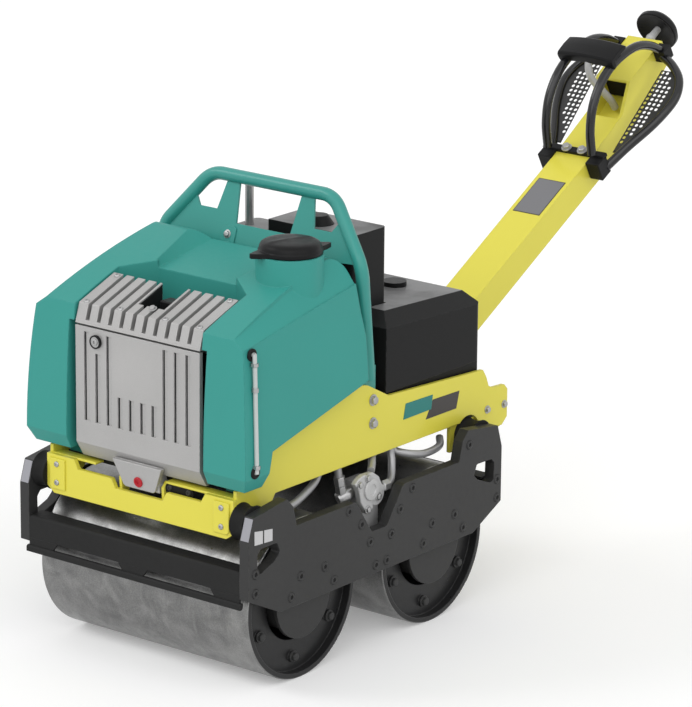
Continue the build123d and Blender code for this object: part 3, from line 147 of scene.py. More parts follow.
floor_paint = bpy.data.materials.new("floor_white")
tree = nodes_of(floor_paint)
lift = maths(tree, "MULTIPLY", seen_directly(tree), FLOOR_LIFT)
matt = add(tree, "ShaderNodeBsdfDiffuse", {"Color": FLOOR_PAINT})
haze = add(tree, "ShaderNodeEmission", {"Color": WHITE, "Strength": lift})
both = add(tree, "ShaderNodeAddShader", {0: matt.outputs[0], 1: haze.outputs[0]})
add(tree, "ShaderNodeOutputMaterial", {"Surface": both.outputs[0]})
floor_mesh = bpy.data.meshes.new("floor")
floor_mesh.from_pydata(FLOOR_CORNERS, [], [(0, 1, 2, 3)])
floor_mesh.materials.append(floor_paint)
floor = bpy.data.objects.new("floor", floor_mesh)
scene.collection.objects.link(floor)
print("world", world.name, "and", floor.name)

# %% The lights
LIGHTS = {
    # name: the direction it comes from, its spread in degrees, its strength
    "overhead": ((0.15, 0.1, 0.98), 80.0, 0.15),
    "beside_camera": ((0.75, 0.35, 0.55), 50.0, 0.85),
    "left_side": ((0.1, 0.85, 0.5), 50.0, 0.5),
    "ahead_right": ((0.51, -0.6, 0.62), 24.0, 0.65),
}
for name, (towards, spread, power) in LIGHTS.items():
    lamp = bpy.data.objects.new(name, bpy.data.lights.new(name, "SUN"))
    lamp.data.angle = np.radians(spread)
    lamp.data.energy = power
    lamp.matrix_world = Vector(towards).to_track_quat("Z", "Y").to_matrix().to_4x4()
    scene.collection.objects.link(lamp)
print("lights", list(LIGHTS))

# %% [markdown]
# ## Wear and grain, shared by all finishes
# Every real surface has a grain, varies a little in colour and gloss, and is rubbed on its edges. One
# node group makes all of this. Edges are found by comparing the true normal with one rounded over a
# few millimetres; the rounded normal also softens the sharp edges of the solids, as paint does.


# %% Wear and grain
def group_of(name, inputs, outputs):
    """New shader node group with typed sockets; gives its tree, its input node and its output node."""
    tree = bpy.data.node_groups.new(name, "ShaderNodeTree")
    for in_out, table in (("INPUT", inputs), ("OUTPUT", outputs)):
        for socket, kind in table.items():
            tree.interface.new_socket(socket, in_out=in_out, socket_type=f"NodeSocket{kind}")
    return tree, tree.nodes.new("NodeGroupInput").outputs, tree.nodes.new("NodeGroupOutput").inputs


def mixed(tree, factor, first, second):
    """Output of one colour mix."""
    mix = add(tree, "ShaderNodeMix", {0: factor, 6: first, 7: second}, data_type="RGBA")
    return mix.outputs[2]


def noise(tree, place, scale, detail, distortion=0.0):
    """Output of one noise texture, near one half on average."""
    links = {"Vector": place, "Scale": scale, "Detail": detail, "Distortion": distortion}
    return add(tree, "ShaderNodeTexNoise", links).outputs[0]


def span(tree, value, low, high):
    """0 where a value is at low, 1 where it is at high, and even in between."""
    return add(tree, "ShaderNodeMapRange", {"Value": value, "From Min": low, "From Max": high}).outputs[0]


GRAIN_HEIGHT = 0.0006
CLOUDS, SPECKS, GRAIN_DETAIL = (5.0, 5.0), (70.0, 4.0), 3.0
FLAT, SHARP_EDGE = 0.995, 0.86
CHIPS_FROM, CHIPS_TO = 0.42, 0.62
wear, given, made = group_of(
    "wear_and_grain",
    {"Colour": "Color", "Worn": "Color", "Wear": "Float", "Mottle": "Float", "Roughness": "Float",
     "Spread": "Float", "Grain": "Float", "Depth": "Float", "Edge": "Float"},
    {"Colour": "Color", "Roughness": "Float", "Normal": "Vector"},
)
place = add(wear, "ShaderNodeTexCoord").outputs["Object"]
cloud = noise(wear, place, *CLOUDS)
speck = noise(wear, place, *SPECKS)
grain = noise(wear, place, given["Grain"], GRAIN_DETAIL)
rounded = add(wear, "ShaderNodeBevel", {"Radius": given["Edge"]}, samples=6).outputs[0]
true_normal = add(wear, "ShaderNodeNewGeometry").outputs["Normal"]
likeness = add(wear, "ShaderNodeVectorMath", {0: rounded, 1: true_normal}, operation="DOT_PRODUCT").outputs[1]
edge = span(wear, likeness, FLAT, SHARP_EDGE)
chips = span(wear, speck, CHIPS_FROM, CHIPS_TO)
rubbed = maths(wear, "MULTIPLY", maths(wear, "MULTIPLY", edge, chips), given["Wear"], clamp=True)
swing = maths(wear, "MULTIPLY", maths(wear, "SUBTRACT", cloud, 0.5), given["Mottle"])
fleck = maths(wear, "MULTIPLY", maths(wear, "SUBTRACT", grain, 0.5), given["Mottle"])
bright = maths(wear, "ADD", maths(wear, "ADD", swing, fleck), 1.0)
toned = add(wear, "ShaderNodeVectorMath", {0: given["Colour"], 3: bright}, operation="SCALE").outputs[0]
wear.links.new(mixed(wear, rubbed, toned, given["Worn"]), made["Colour"])
uneven = maths(wear, "MULTIPLY", maths(wear, "SUBTRACT", speck, 0.5), given["Spread"])
wear.links.new(maths(wear, "ADD", given["Roughness"], uneven, clamp=True), made["Roughness"])
relief = add(
    wear, "ShaderNodeBump",
    {"Height": grain, "Strength": given["Depth"], "Distance": GRAIN_HEIGHT, "Normal": rounded},
)
wear.links.new(relief.outputs[0], made["Normal"])
print("group", wear.name, "with", len(wear.nodes), "nodes")

# %% [markdown]
# ## The finishes
# Paint is a colour under a thin gloss, moulded plastic is duller and finely textured, cast aluminium
# is grey and sandy, zinc is bright, rubber is matt. The numbers differ, the recipe is one. Wear is how
# much of the edges is rubbed, mottle how far the colour drifts and spread how uneven the gloss is.
# Grain is how fine the texture is and depth how strong. Edges are rounded over the edge, in metres.
# Gloss is how strongly the finish mirrors; 0.5 is plain gloss paint.

# %% The colours
COLOURS = {
    # name: its colour, its colour where it is rubbed
    "frame_yellow": ((0.735, 0.665, 0.07), (0.5, 0.46, 0.25)),
    "tank_teal": ((0.041, 0.3, 0.262), (0.085, 0.39, 0.35)),
    "hoop_teal": ((0.035, 0.285, 0.248), (0.08, 0.38, 0.33)),
    "cast_aluminium": ((0.42, 0.415, 0.41), (0.62, 0.62, 0.61)),
    "steel_dark": ((0.03, 0.03, 0.03), (0.12, 0.12, 0.12)),
    "box_black": ((0.012, 0.012, 0.0122), (0.06, 0.06, 0.06)),
    "engine_dark": ((0.012, 0.012, 0.013), (0.06, 0.06, 0.06)),
    "strip_dark": ((0.018, 0.018, 0.018), (0.08, 0.08, 0.08)),
    "rubber_black": ((0.013, 0.013, 0.013), (0.05, 0.05, 0.05)),
    "plastic_black": ((0.009, 0.009, 0.0095), (0.05, 0.05, 0.05)),
    "tube_black": ((0.008, 0.008, 0.009), (0.08, 0.08, 0.08)),
    "tube_clear": ((0.5, 0.53, 0.52), (0.6, 0.6, 0.6)),
    "steel_bright": ((0.4, 0.4, 0.4), (0.55, 0.55, 0.54)),
    "plug_red": ((0.45, 0.008, 0.018), (0.5, 0.1, 0.1)),
    "pipe_grey": ((0.36, 0.36, 0.365), (0.5, 0.5, 0.5)),
    "cast_grey": ((0.5, 0.5, 0.5), (0.62, 0.62, 0.61)),
    "sign_teal": ((0.005, 0.19, 0.17), (0.1, 0.3, 0.28)),
    "sign_dark": ((0.035, 0.03, 0.027), (0.2, 0.2, 0.2)),
    "sign_grey": ((0.16, 0.16, 0.17), (0.3, 0.3, 0.3)),
    "sign_pale": ((0.55, 0.55, 0.56), (0.6, 0.6, 0.6)),
    "sign_silver": ((0.33, 0.33, 0.36), (0.5, 0.5, 0.5)),
}
print(len(COLOURS), "colours")

# %% The surfaces
SURFACES = {
    # name: wear, mottle, roughness, spread, grain, depth, edge, metal, coat, gloss
    "frame_yellow": (0.35, 0.05, 0.42, 0.14, 900, 0.06, 0.003, 0.0, 0.15, 0.35),
    "tank_teal": (0.5, 0.07, 0.5, 0.12, 1100, 0.16, 0.005, 0.0, 0.0, 0.25),
    "hoop_teal": (0.4, 0.05, 0.4, 0.12, 900, 0.06, 0.002, 0.0, 0.15, 0.35),
    "cast_aluminium": (0.7, 0.26, 0.46, 0.2, 420, 0.5, 0.002, 0.45, 0.0, 0.5),
    "steel_dark": (0.55, 0.2, 0.46, 0.18, 800, 0.12, 0.003, 0.0, 0.0, 0.28),
    "box_black": (0.5, 0.2, 0.36, 0.12, 1000, 0.1, 0.004, 0.0, 0.0, 0.1),
    "engine_dark": (0.5, 0.25, 0.55, 0.2, 400, 0.3, 0.004, 0.2, 0.0, 0.15),
    "strip_dark": (0.5, 0.25, 0.6, 0.2, 600, 0.2, 0.001, 0.0, 0.0, 0.15),
    "rubber_black": (0.3, 0.3, 0.62, 0.2, 500, 0.3, 0.004, 0.0, 0.0, 0.12),
    "plastic_black": (0.4, 0.2, 0.38, 0.16, 1200, 0.2, 0.002, 0.0, 0.0, 0.12),
    "tube_black": (0.4, 0.2, 0.22, 0.12, 900, 0.06, 0.001, 0.0, 0.2, 0.35),
    "tube_clear": (0.2, 0.15, 0.2, 0.1, 300, 0.1, 0.001, 0.0, 0.6, 0.5),
    "steel_bright": (0.5, 0.2, 0.34, 0.2, 700, 0.15, 0.001, 0.8, 0.0, 0.5),
    "plug_red": (0.2, 0.1, 0.3, 0.1, 600, 0.05, 0.0005, 0.0, 0.0, 0.25),
    "pipe_grey": (0.3, 0.15, 0.38, 0.15, 500, 0.1, 0.001, 0.5, 0.0, 0.5),
    "cast_grey": (0.6, 0.2, 0.5, 0.2, 500, 0.35, 0.002, 0.3, 0.0, 0.5),
    "sign_teal": (0.4, 0.06, 0.35, 0.1, 700, 0.05, 0.0005, 0.0, 0.3, 0.2),
    "sign_dark": (0.4, 0.1, 0.35, 0.1, 700, 0.05, 0.0005, 0.0, 0.3, 0.2),
    "sign_grey": (0.4, 0.1, 0.4, 0.1, 700, 0.05, 0.0005, 0.1, 0.2, 0.5),
    "sign_pale": (0.4, 0.08, 0.35, 0.1, 700, 0.05, 0.0005, 0.0, 0.2, 0.5),
    "sign_silver": (0.3, 0.1, 0.3, 0.1, 1500, 0.2, 0.0005, 0.5, 0.2, 0.5),
}
print(len(SURFACES), "surfaces")

# %% The finishes
MATERIALS = {}
# The pale colour on the faces that look up is partly dust and partly a painted sheen of the light from above.
DUST_AND_SHEEN, DUST_AND_SHEEN_WORN = (0.22, 0.22, 0.222, 1), (0.08, 0.08, 0.08)
DUST_AND_SHEEN_SURFACE = (0.5, 0.2, 0.4, 0.12, 1000, 0.1, 0.004)
PATCHES, PATCH_FROM, PATCH_TO = (9.0, 5.0), 0.1, 0.55
LEVEL_FROM, LEVEL_TO = 0.7, 0.97


def worn_surface(tree, colour, worn, values):
    """The wear group in a material, with its numbers set on it."""
    surface = add(tree, "ShaderNodeGroup", node_tree=wear)
    for name, value in zip(("Wear", "Mottle", "Roughness", "Spread", "Grain", "Depth", "Edge"), values):
        surface.inputs[name].default_value = value
    for name, value in (("Colour", colour), ("Worn", worn)):
        if isinstance(value, bpy.types.NodeSocket):
            tree.links.new(value, surface.inputs[name])
        else:
            surface.inputs[name].default_value = (*value, 1)
    return surface.outputs


def shade(tree, surface, metal, coat, gloss):
    """Principled shader fed by the wear group's colour, roughness and normal."""
    links = {name: surface[name] for name in ("Roughness", "Normal")}
    links.update({"Base Color": surface["Colour"], "Metallic": metal, "Coat Weight": coat})
    links["Specular IOR Level"] = gloss
    shader = add(tree, "ShaderNodeBsdfPrincipled", links)
    add(tree, "ShaderNodeOutputMaterial", {"Surface": shader.outputs[0]})


def dust_and_sheen_material(name):
    """Black paint with pale dust and a painted sheen on the faces that look up, thicker in patches."""
    material = bpy.data.materials.new(name)
    tree = nodes_of(material)
    place = add(tree, "ShaderNodeTexCoord").outputs["Object"]
    cover = span(tree, noise(tree, place, *PATCHES), PATCH_FROM, PATCH_TO)
    facing = add(tree, "ShaderNodeNewGeometry").outputs["Normal"]
    rise = add(tree, "ShaderNodeSeparateXYZ", {0: facing}).outputs[2]
    top = span(tree, rise, LEVEL_FROM, LEVEL_TO)
    colour = mixed(tree, maths(tree, "MULTIPLY", top, cover), (*COLOURS["box_black"][0], 1), DUST_AND_SHEEN)
    surface = worn_surface(tree, colour, DUST_AND_SHEEN_WORN, DUST_AND_SHEEN_SURFACE)
    shade(tree, surface, *SURFACES["box_black"][-3:])
    return material


for name, (colour, worn) in COLOURS.items():
    *values, metal, coat, gloss = SURFACES[name]
    MATERIALS[name] = bpy.data.materials.new(name)
    tree = nodes_of(MATERIALS[name])
    shade(tree, worn_surface(tree, colour, worn, values), metal, coat, gloss)
MATERIALS["box_dust_and_sheen"] = dust_and_sheen_material("box_dust_and_sheen")
print(len(MATERIALS), "finishes")

# %% [markdown]
# ## The drums
# The rolling surface of a drum is bare steel, clouded and ground dull by the road, with fine scratches
# round it and specks of grit; rims and end discs are painted black. Distance from the axle tells them
# apart. The steel's tone is mixed from scratches, grit and clouds, and runs from dark to pale.

# %% The drums
PAINT_REACH, STEEL_REACH = 0.1972, 0.1982
DISC_PAINT, DISC_WORN, STEEL_WORN = (0.016, 0.016, 0.0165, 1), (0.07, 0.07, 0.07, 1), (0.4, 0.4, 0.39, 1)
STEEL_TONES = ((0.38, (0.15, 0.15, 0.15, 1)), (0.64, (0.29, 0.29, 0.285, 1)))
SCRATCH_ROUND, SCRATCH_ACROSS = 3.0, 120.0
# scale, detail and distortion of the noise
SCRATCHES, GRIT, DRUM_CLOUDS = (1.0, 4.0), (300.0, 3.0), (14.0, 7.0, 0.8)
SCRATCH_SHARE, GRIT_SHARE, CLOUD_SHARE = 0.08, 0.32, 0.6
STEEL_SURFACE, STEEL_METAL, STEEL_GLOSS = (0.6, 0.2, 0.34, 0.3, 420, 0.3, 0.004), 0.85, 0.3
NODE_FINISH = {"rear_box": "box_dust_and_sheen", "rear_housing": "box_dust_and_sheen", "drive_motor": "cast_grey"}


def drum_material(name, axle_x):
    """Bare scuffed steel outside the disc's radius, black paint inside it."""
    material = bpy.data.materials.new(name)
    tree = nodes_of(material)
    place = add(tree, "ShaderNodeTexCoord").outputs["Object"]
    split = add(tree, "ShaderNodeSeparateXYZ", {0: place}).outputs
    out_x = maths(tree, "SUBTRACT", split[0], axle_x / 1000)
    out_z = maths(tree, "SUBTRACT", split[2], joints["front_drum_spin"][2] / 1000)
    squares = [maths(tree, "MULTIPLY", out, out) for out in (out_x, out_z)]
    bare = span(tree, maths(tree, "SQRT", maths(tree, "ADD", *squares)), PAINT_REACH, STEEL_REACH)
    turn = maths(tree, "MULTIPLY", maths(tree, "ARCTAN2", out_z, out_x), SCRATCH_ROUND)
    across = maths(tree, "MULTIPLY", split[1], SCRATCH_ACROSS)
    drawn_out = add(tree, "ShaderNodeCombineXYZ", {0: turn, 1: across}).outputs[0]
    scratch = maths(tree, "MULTIPLY", noise(tree, drawn_out, *SCRATCHES), SCRATCH_SHARE)
    cloud = maths(tree, "MULTIPLY", noise(tree, place, *DRUM_CLOUDS), CLOUD_SHARE)
    grit = maths(tree, "MULTIPLY", noise(tree, place, *GRIT), GRIT_SHARE)
    ramp = add(tree, "ShaderNodeValToRGB", {0: maths(tree, "ADD", maths(tree, "ADD", scratch, grit), cloud)})
    for stop, (tone, shown) in zip(ramp.color_ramp.elements, STEEL_TONES):
        stop.position = tone
        stop.color = shown
    colour = mixed(tree, bare, DISC_PAINT, ramp.outputs[0])
    worn = mixed(tree, bare, DISC_WORN, STEEL_WORN)
    surface = worn_surface(tree, colour, worn, STEEL_SURFACE)
    shade(tree, surface, maths(tree, "MULTIPLY", bare, STEEL_METAL), 0.0, STEEL_GLOSS)
    return material


slots = {entry["node"]: entry["material_slot"] for entry in frame["record"]["subparts"]}
for end in ("front", "rear"):
    MATERIALS[f"{end}_drum"] = drum_material(f"{end}_drum_steel", joints[f"{end}_drum_spin"][0])
    NODE_FINISH[f"{end}_drum"] = f"{end}_drum"
for node, obj in frame["nodes"].items():
    obj.data.materials.clear()
    obj.data.materials.append(MATERIALS[NODE_FINISH.get(node, slots[node])])
print("finished", len(slots), "solids")

# %% [markdown]
# ## Tools for new surfaces
# New pieces are grids of points worked out as whole arrays: a profile turned about an axis, a ring
# carried along a path, or an outline raised into a plate. Small forms are made once and copied.


# %% Turned forms and plates
def capped(rows, cols):
    """Faces of a tube of rings: four-sided between neighbouring rings, and one face over each end."""
    i, j = np.meshgrid(np.arange(rows - 1), np.arange(cols), indexing="ij")
    k = (j + 1) % cols
    corners = [i * cols + j, i * cols + k, (i + 1) * cols + k, (i + 1) * cols + j]
    last = (rows - 1) * cols
    ends = [list(range(cols))[::-1], list(range(last, last + cols))]
    return np.stack(corners, -1).reshape(-1, 4).tolist() + ends


def lathe(profile, sides=24):
    """Turned form about its own upward axis. A row is (height, radius) for a round ring, or (height,
    half width, 1) for a hexagon: there the reach is the half width over the cosine of the angle from
    the middle of the nearest side."""
    height, radius, hexed = np.array([(*row, 0)[:3] for row in profile], float).T
    turn = np.linspace(0, 2 * np.pi, sides, endpoint=False)
    corner = 1 / np.cos((turn + np.pi / 6) % (np.pi / 3) - np.pi / 6) - 1
    reach = radius[:, None] * (1 + hexed[:, None] * corner)
    points = np.stack([reach * np.cos(turn), reach * np.sin(turn), height[:, None] + 0 * reach], -1)
    return points.reshape(-1, 3), capped(len(height), sides)


def slab(outline, thickness):
    """Plate: an anticlockwise outline at height 0 and again at the thickness, joined by a wall."""
    flat = np.asarray(outline, float)
    low = np.column_stack([flat, np.zeros(len(flat))])
    return np.vstack([low, low + [0, 0, thickness]]), capped(2, len(flat))


def oblong(low, high, bottom, top):
    """Corners of a rectangle between four limits, anticlockwise."""
    return np.array([(low, bottom), (high, bottom), (high, top), (low, top)], float)


def mirrored(outline):
    """An outline seen in a mirror, still anticlockwise."""
    return np.asarray(outline, float)[::-1] * [-1, 1]


# %% Curves and bars
def smooth(points, steps=8):
    """Curve through points: on each stretch a cubic, whose slope at a point is half the way from the
    point before it to the point after it."""
    p = np.asarray(points, float)
    p = np.vstack([2 * p[0] - p[1], p, 2 * p[-1] - p[-2]])
    t = np.linspace(0, 1, steps, endpoint=False)[:, None, None]
    a, b, c, d = p[:-3], p[1:-2], p[2:-1], p[3:]
    curve = b + (c - a) * t / 2 + (2 * a - 5 * b + 4 * c - d) * t**2 / 2 + (3 * b - a - 3 * c + d) * t**3 / 2
    return np.vstack([curve.transpose(1, 0, 2).reshape(-1, 3), p[-2]])


def tube(path, radius, sides=16, across=(0.31, 0.87, 0.38)):
    """Bar along a path in metres: at every point a ring of the given radius, square to the path there."""
    path = np.asarray(path, float)
    ahead = np.gradient(path, axis=0)
    ahead /= np.linalg.norm(ahead, axis=1, keepdims=True)
    side = np.cross(ahead, across)
    side /= np.linalg.norm(side, axis=1, keepdims=True)
    upward = np.cross(ahead, side)
    turn = np.linspace(0, 2 * np.pi, sides, endpoint=False)[None, :, None]
    rings = path[:, None] + radius * (np.cos(turn) * side[:, None] + np.sin(turn) * upward[:, None])
    return rings.reshape(-1, 3), capped(len(path), sides)


# %% Copies and pieces
SHARP = np.radians(38)


def stamp(form, places, out, up=(0, 0, 1)):
    """Copies of a small form at several places, its upward axis turned to out; places in metres."""
    points, faces = form
    axis = np.asarray(out, float) / np.linalg.norm(out)
    first = np.cross(up, axis)
    first /= np.linalg.norm(first)
    second = np.cross(axis, first)
    turned = np.asarray(points) @ np.array([first, second, axis]) / 1000
    places = np.asarray(places, float).reshape(-1, 3)
    moved = (places[:, None] + turned[None]).reshape(-1, 3)
    steps = range(0, len(moved), len(turned))
    return moved, [[v + step for v in face] for step in steps for face in faces]


def joined(*forms):
    """Several forms as one."""
    points, faces, count = [], [], 0
    for p, f in forms:
        points.append(np.asarray(p))
        faces += [[v + count for v in face] for face in f]
        count += len(p)
    return np.vstack(points), faces


def piece(name, form, finish, body, soften=0.0, thick=0.0):
    """A new piece from points in metres and faces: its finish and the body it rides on. Edges
    are softened and a sheet is thickened by lengths in metres."""
    points, faces = form
    mesh = bpy.data.meshes.new(name)
    mesh.from_pydata(np.asarray(points).tolist(), [], faces)
    mesh.polygons.foreach_set("use_smooth", np.ones(len(mesh.polygons), bool))
    mesh.set_sharp_from_angle(angle=SHARP)
    mesh.materials.append(MATERIALS[finish])
    obj = bpy.data.objects.new(name, mesh)
    scene.collection.objects.link(obj)
    if thick:
        solid = obj.modifiers.new("thickness", "SOLIDIFY")
        solid.thickness = thick
        solid.offset = 0.0
    if soften:
        bevel = obj.modifiers.new("softened", "BEVEL")
        bevel.width = soften
        bevel.segments = 2
        bevel.limit_method = "ANGLE"
    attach(obj, body)
    print(name, len(mesh.vertices), "points", len(mesh.polygons), "faces")
    return obj


# %% [markdown]
# ## Fasteners
# The lower plates carry socket screws set in dished rings, with a dark disc low in each ring as painted
# shade, so that it looks deep. The upper frame has hexagon bolts on washers, and so have the drum discs.
# Each kind is one turned profile, copied to its places.

# %% Fasteners
SOCKET_SCREW = lathe([(-1, 13.5), (0.7, 13.3), (0.9, 12.3), (0.1, 11.9), (0.1, 11.0), (1.5, 10.6),
                      (1.9, 9.8), (1.9, 5.6, 1), (0.1, 5.4, 1)])
# A dark disc under each socket screw is painted shade in its socket and round its ring.
SOCKET_SHADE = lathe([(-0.8, 12), (0.3, 12), (0.31, 1)])
HEX_BOLT = lathe([(-1, 14.5), (2.0, 14.5), (2.4, 14.0), (2.4, 9.4, 1), (9.0, 9.4, 1), (10.4, 8.6),
                  (10.6, 5.0)])
SMALL_BOLT = lathe([(-1, 10.5), (1.6, 10.5), (1.8, 10.2), (1.8, 6.8, 1), (6.2, 6.8, 1), (7.2, 6.2),
                    (7.4, 3.5)])
DOME_SCREW = lathe([(-1, 7.4), (0.4, 7.4), (2.4, 6.6), (3.6, 4.8), (3.8, 3.0, 1), (1.6, 2.8, 1)])
LEFT, RIGHT, FRONT, ABOVE = (0, 1, 0), (0, -1, 0), (1, 0, 0), (0, 0, 1)
PLATE_FACE, FRAME_FACE = 358.0, 291.0
PLATE_PLACES = np.array([
    (466, 321), (466, 273), (118, 385), (70, 341), (36, 288), (-46, 287), (-80, 341), (-128, 383), (13, 224),
    (-29, 225), (-472, 320), (-473, 272), (-356, 437), (334, 229), (299, 272), (209, 272), (174, 229),
    (-174, 229), (-209, 272), (-299, 272), (-334, 229),
], float)
HOOP_PLACES = np.array([(-54, 609), (-54, 551)], float)
BEAM_PLACES = np.array([(-517, 477), (-588, 475)], float)


def on_both_sides(form, places, y):
    """Copies of a form at places (forward, up) on the left face at y, and again on the right face."""
    left = np.insert(places, 1, y, axis=1)
    return joined(stamp(form, at(left), LEFT), stamp(form, at(left * [1, -1, 1]), RIGHT))


screws = on_both_sides(SOCKET_SCREW, PLATE_PLACES, PLATE_FACE)
piece("plate_screws", screws, "steel_dark", "chassis")
# The dark discs are painted shade in the screws' sockets and rings.
shadows = on_both_sides(SOCKET_SHADE, PLATE_PLACES, PLATE_FACE)
piece("screw_socket_shade", shadows, "box_black", "chassis")
large = on_both_sides(HEX_BOLT, HOOP_PLACES, FRAME_FACE)
piece("hoop_bolts", large, "steel_bright", "chassis")
small = on_both_sides(SMALL_BOLT, BEAM_PLACES, FRAME_FACE)
piece("beam_bolts", small, "steel_bright", "chassis")

# %% Bolts of the drum discs
DISC_FACE, BOLT_CIRCLE = 308, 150
ring = np.radians(26 + 60 * np.arange(6))
wheel = np.column_stack([BOLT_CIRCLE * np.cos(ring), DISC_FACE + 0 * ring, -BOLT_CIRCLE * np.sin(ring)])
for end in ("front", "rear"):
    middle = joints[f"{end}_drum_spin"] - [MID, 0, 0]
    heads = joined(stamp(HEX_BOLT, at(middle + wheel), LEFT),
                   stamp(HEX_BOLT, at(middle + wheel * [1, -1, -1]), RIGHT))
    piece(f"{end}_disc_bolts", heads, "steel_dark", f"{end}_drum")

# %% [markdown]
# ## Bumper
# Each end of the bumper has a raised pad, held by two screws, and a flat flange lies behind its upper
# edge on either side. A black bracket with two bolts shows in the notch beside the cover's tab.

# %% Bumper
PAD = [(-24, -37), (17, -37), (24, -30), (24, 40), (-24, 40)]
PAD_THICKNESS, BRACKET_THICKNESS, FLANGE_THICKNESS = 4.0, 5.0, 6.0
pads = joined(stamp(slab(PAD, PAD_THICKNESS), at([(466, 256, 437)]), FRONT),
              stamp(slab(mirrored(PAD), PAD_THICKNESS), at([(466, -256, 437)]), FRONT))
piece("bumper_pads", pads, "frame_yellow", "chassis", soften=0.0012)
bumper_places = at([(470, y, z) for y in (-257, 257) for z in (417, 463)])
piece("bumper_screws", stamp(DOME_SCREW, bumper_places, FRONT), "steel_bright", "chassis")
BRACKET = [(-42, -11), (42, -11), (42, 6), (36, 11), (-36, 11), (-42, 6)]
bracket = stamp(slab(BRACKET, BRACKET_THICKNESS), at([(446, 113, 469)]), FRONT)
piece("notch_bracket", bracket, "plastic_black", "chassis", soften=0.001)
bracket_places = at([(451, 84, 471), (451, 142, 470)])
piece("bracket_screws", stamp(DOME_SCREW, bracket_places, FRONT), "steel_dark", "chassis")
short_flange = slab(oblong(-15, 15, -69, 69), FLANGE_THICKNESS)
long_flange = slab(oblong(-15, 15, -105, 105), FLANGE_THICKNESS)
flanges = joined(stamp(short_flange, at([(439, -215, 480)]), ABOVE, up=LEFT),
                 stamp(long_flange, at([(439, 179, 480)]), ABOVE, up=LEFT))
piece("bumper_flanges", flanges, "frame_yellow", "chassis", soften=0.0012)

# %% [markdown]
# ## Small parts of the front cover
# The upper casting is held by screws at the corners of its outer ribs, and a bolt stands in the notch
# between the ribs. The lower casting has a lock: a dark ring round a bright core with a key socket.

# %% Front cover
RIB = 384 / 11
HOOD_SLOPE = np.radians(20.4)
hood_out = np.array([np.sin(HOOD_SLOPE), 0, np.cos(HOOD_SLOPE)])
low_places = [(448, k * RIB, 877.6) for k in (-5, -2, 2, 5)]
high_places = [(340, k * RIB, 917.6) for k in (-5, 5)]
hood_screws = stamp(DOME_SCREW, at(low_places + high_places), hood_out)
piece("hood_screws", hood_screws, "steel_bright", "chassis")
notch_bolt = stamp(SMALL_BOLT, at([(424, 10, 886.6)]), hood_out)
piece("notch_bolt", notch_bolt, "steel_bright", "chassis")
LOCK_RING = lathe([(-6.2, 16.5), (0.5, 16.5), (1.6, 15.4), (1.6, 13.6), (-0.4, 12.6), (-0.4, 8.6)])
LOCK_CORE = lathe([(-1, 8.4), (2.0, 8.4), (2.8, 7.4), (2.8, 3.6, 1), (0.2, 3.4, 1)])
lock_place = at([(476, -126, 792)])
piece("lock_ring", stamp(LOCK_RING, lock_place, FRONT), "plastic_black", "front_cover")
piece("lock_core", stamp(LOCK_CORE, lock_place, FRONT), "steel_bright", "front_cover")

# %% [markdown]
# ## Filler cap
# The cap is moulded: a plain rim, a rounded shoulder and a low crown with a ridge across it, and two
# pointed finger lugs for turning it.

# %% Filler cap
CAP_PLACE, CAP_TURN = (178, 223, 1009), np.radians(-20)
CAP_PROFILE = [(0.0, 74), (1.5, 77), (11, 77), (12.5, 75), (20, 73.5), (26, 70), (30, 63), (32, 52), (33, 36),
               (33.4, 18), (33.5, 6)]
CROWN, RIDGE_HALF_WIDTH, RIDGE_HEIGHT = 31, 9, 2.2
LUG, LUG_HEIGHT = [(55, -34), (92, -15), (109, -4), (109, 4), (92, 15), (55, 34)], 12.0


def cap_form():
    """A turned cap and two lugs. Above the crown's height each point is raised by the ridge's height
    times e to the minus square of its distance from the ridge's line over the half width."""
    points, faces = lathe(CAP_PROFILE, sides=96)
    ridge = np.exp(-((points[:, 1] / RIDGE_HALF_WIDTH) ** 2))
    points[:, 2] += np.where(points[:, 2] > CROWN, RIDGE_HEIGHT * ridge, 0.0)
    lug, lug_faces = slab(LUG, LUG_HEIGHT)
    cos, sin = np.cos(CAP_TURN), np.sin(CAP_TURN)
    turned = np.array([[cos, sin, 0], [-sin, cos, 0], [0, 0, 1]])
    near, far = (lug @ turned, lug_faces), (lug * [-1, -1, 1] @ turned, lug_faces)
    points, faces = joined((points @ turned, faces), near, far)
    return points / 1000 + at(CAP_PLACE), faces


cap = piece("moulded_cap", cap_form(), "plastic_black", "chassis", soften=0.0015)
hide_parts("filler_cap")

# %% [markdown]
# ## Level tube fittings
# The clear tube shows how full the tank is. Rubber grommets seal it where it enters the tank, bright
# nuts hold its ends and a clip keeps it from rattling.

# %% Level tube fittings
GROMMET = lathe([(-2, 15), (2, 15), (4, 13), (4.6, 9), (2.5, 7)])
NUT = lathe([(0, 8.4, 1), (7, 8.4, 1), (8.4, 7.4), (8.6, 5.8)])
CLIP = lathe([(-5, 6.0), (-5, 8.0), (5, 8.0), (5, 6.0)])
SIGHT = [(441, 318, 838), (441, 330, 838), (442, 334, 828), (445, 340, 700), (448, 346, 572), (448, 344, 561),
         (448, 332, 560)]
SIGHT_RADIUS = 0.0055
sight = piece("sight_tube", tube(at(smooth(SIGHT)), SIGHT_RADIUS), "tube_clear", "chassis")
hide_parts("level_tube")
ends = at([(441, 325, 838), (448, 341, 560)])
piece("tube_grommets", stamp(GROMMET, ends, LEFT), "rubber_black", "chassis")
nuts = joined(stamp(NUT, at([(448, 345.8, 570)]), ABOVE, up=LEFT),
              stamp(NUT, at([(442.2, 334.4, 820)]), (0, 0, -1), up=LEFT))
piece("tube_nuts", nuts, "steel_bright", "chassis")
clip = stamp(CLIP, at([(443.7, 337.3, 757)]), ABOVE, up=LEFT)
piece("tube_clip", clip, "steel_bright", "chassis")

# %% [markdown]
# ## Perforated guards
# The guards beside the head are black sheet with round holes in square rows. Each hole sits in a square
# cell: a ring of points round the hole is joined to a ring on the cell's border. Cells near the bow stay
# whole, and the bow's tube hides their stepped edge.

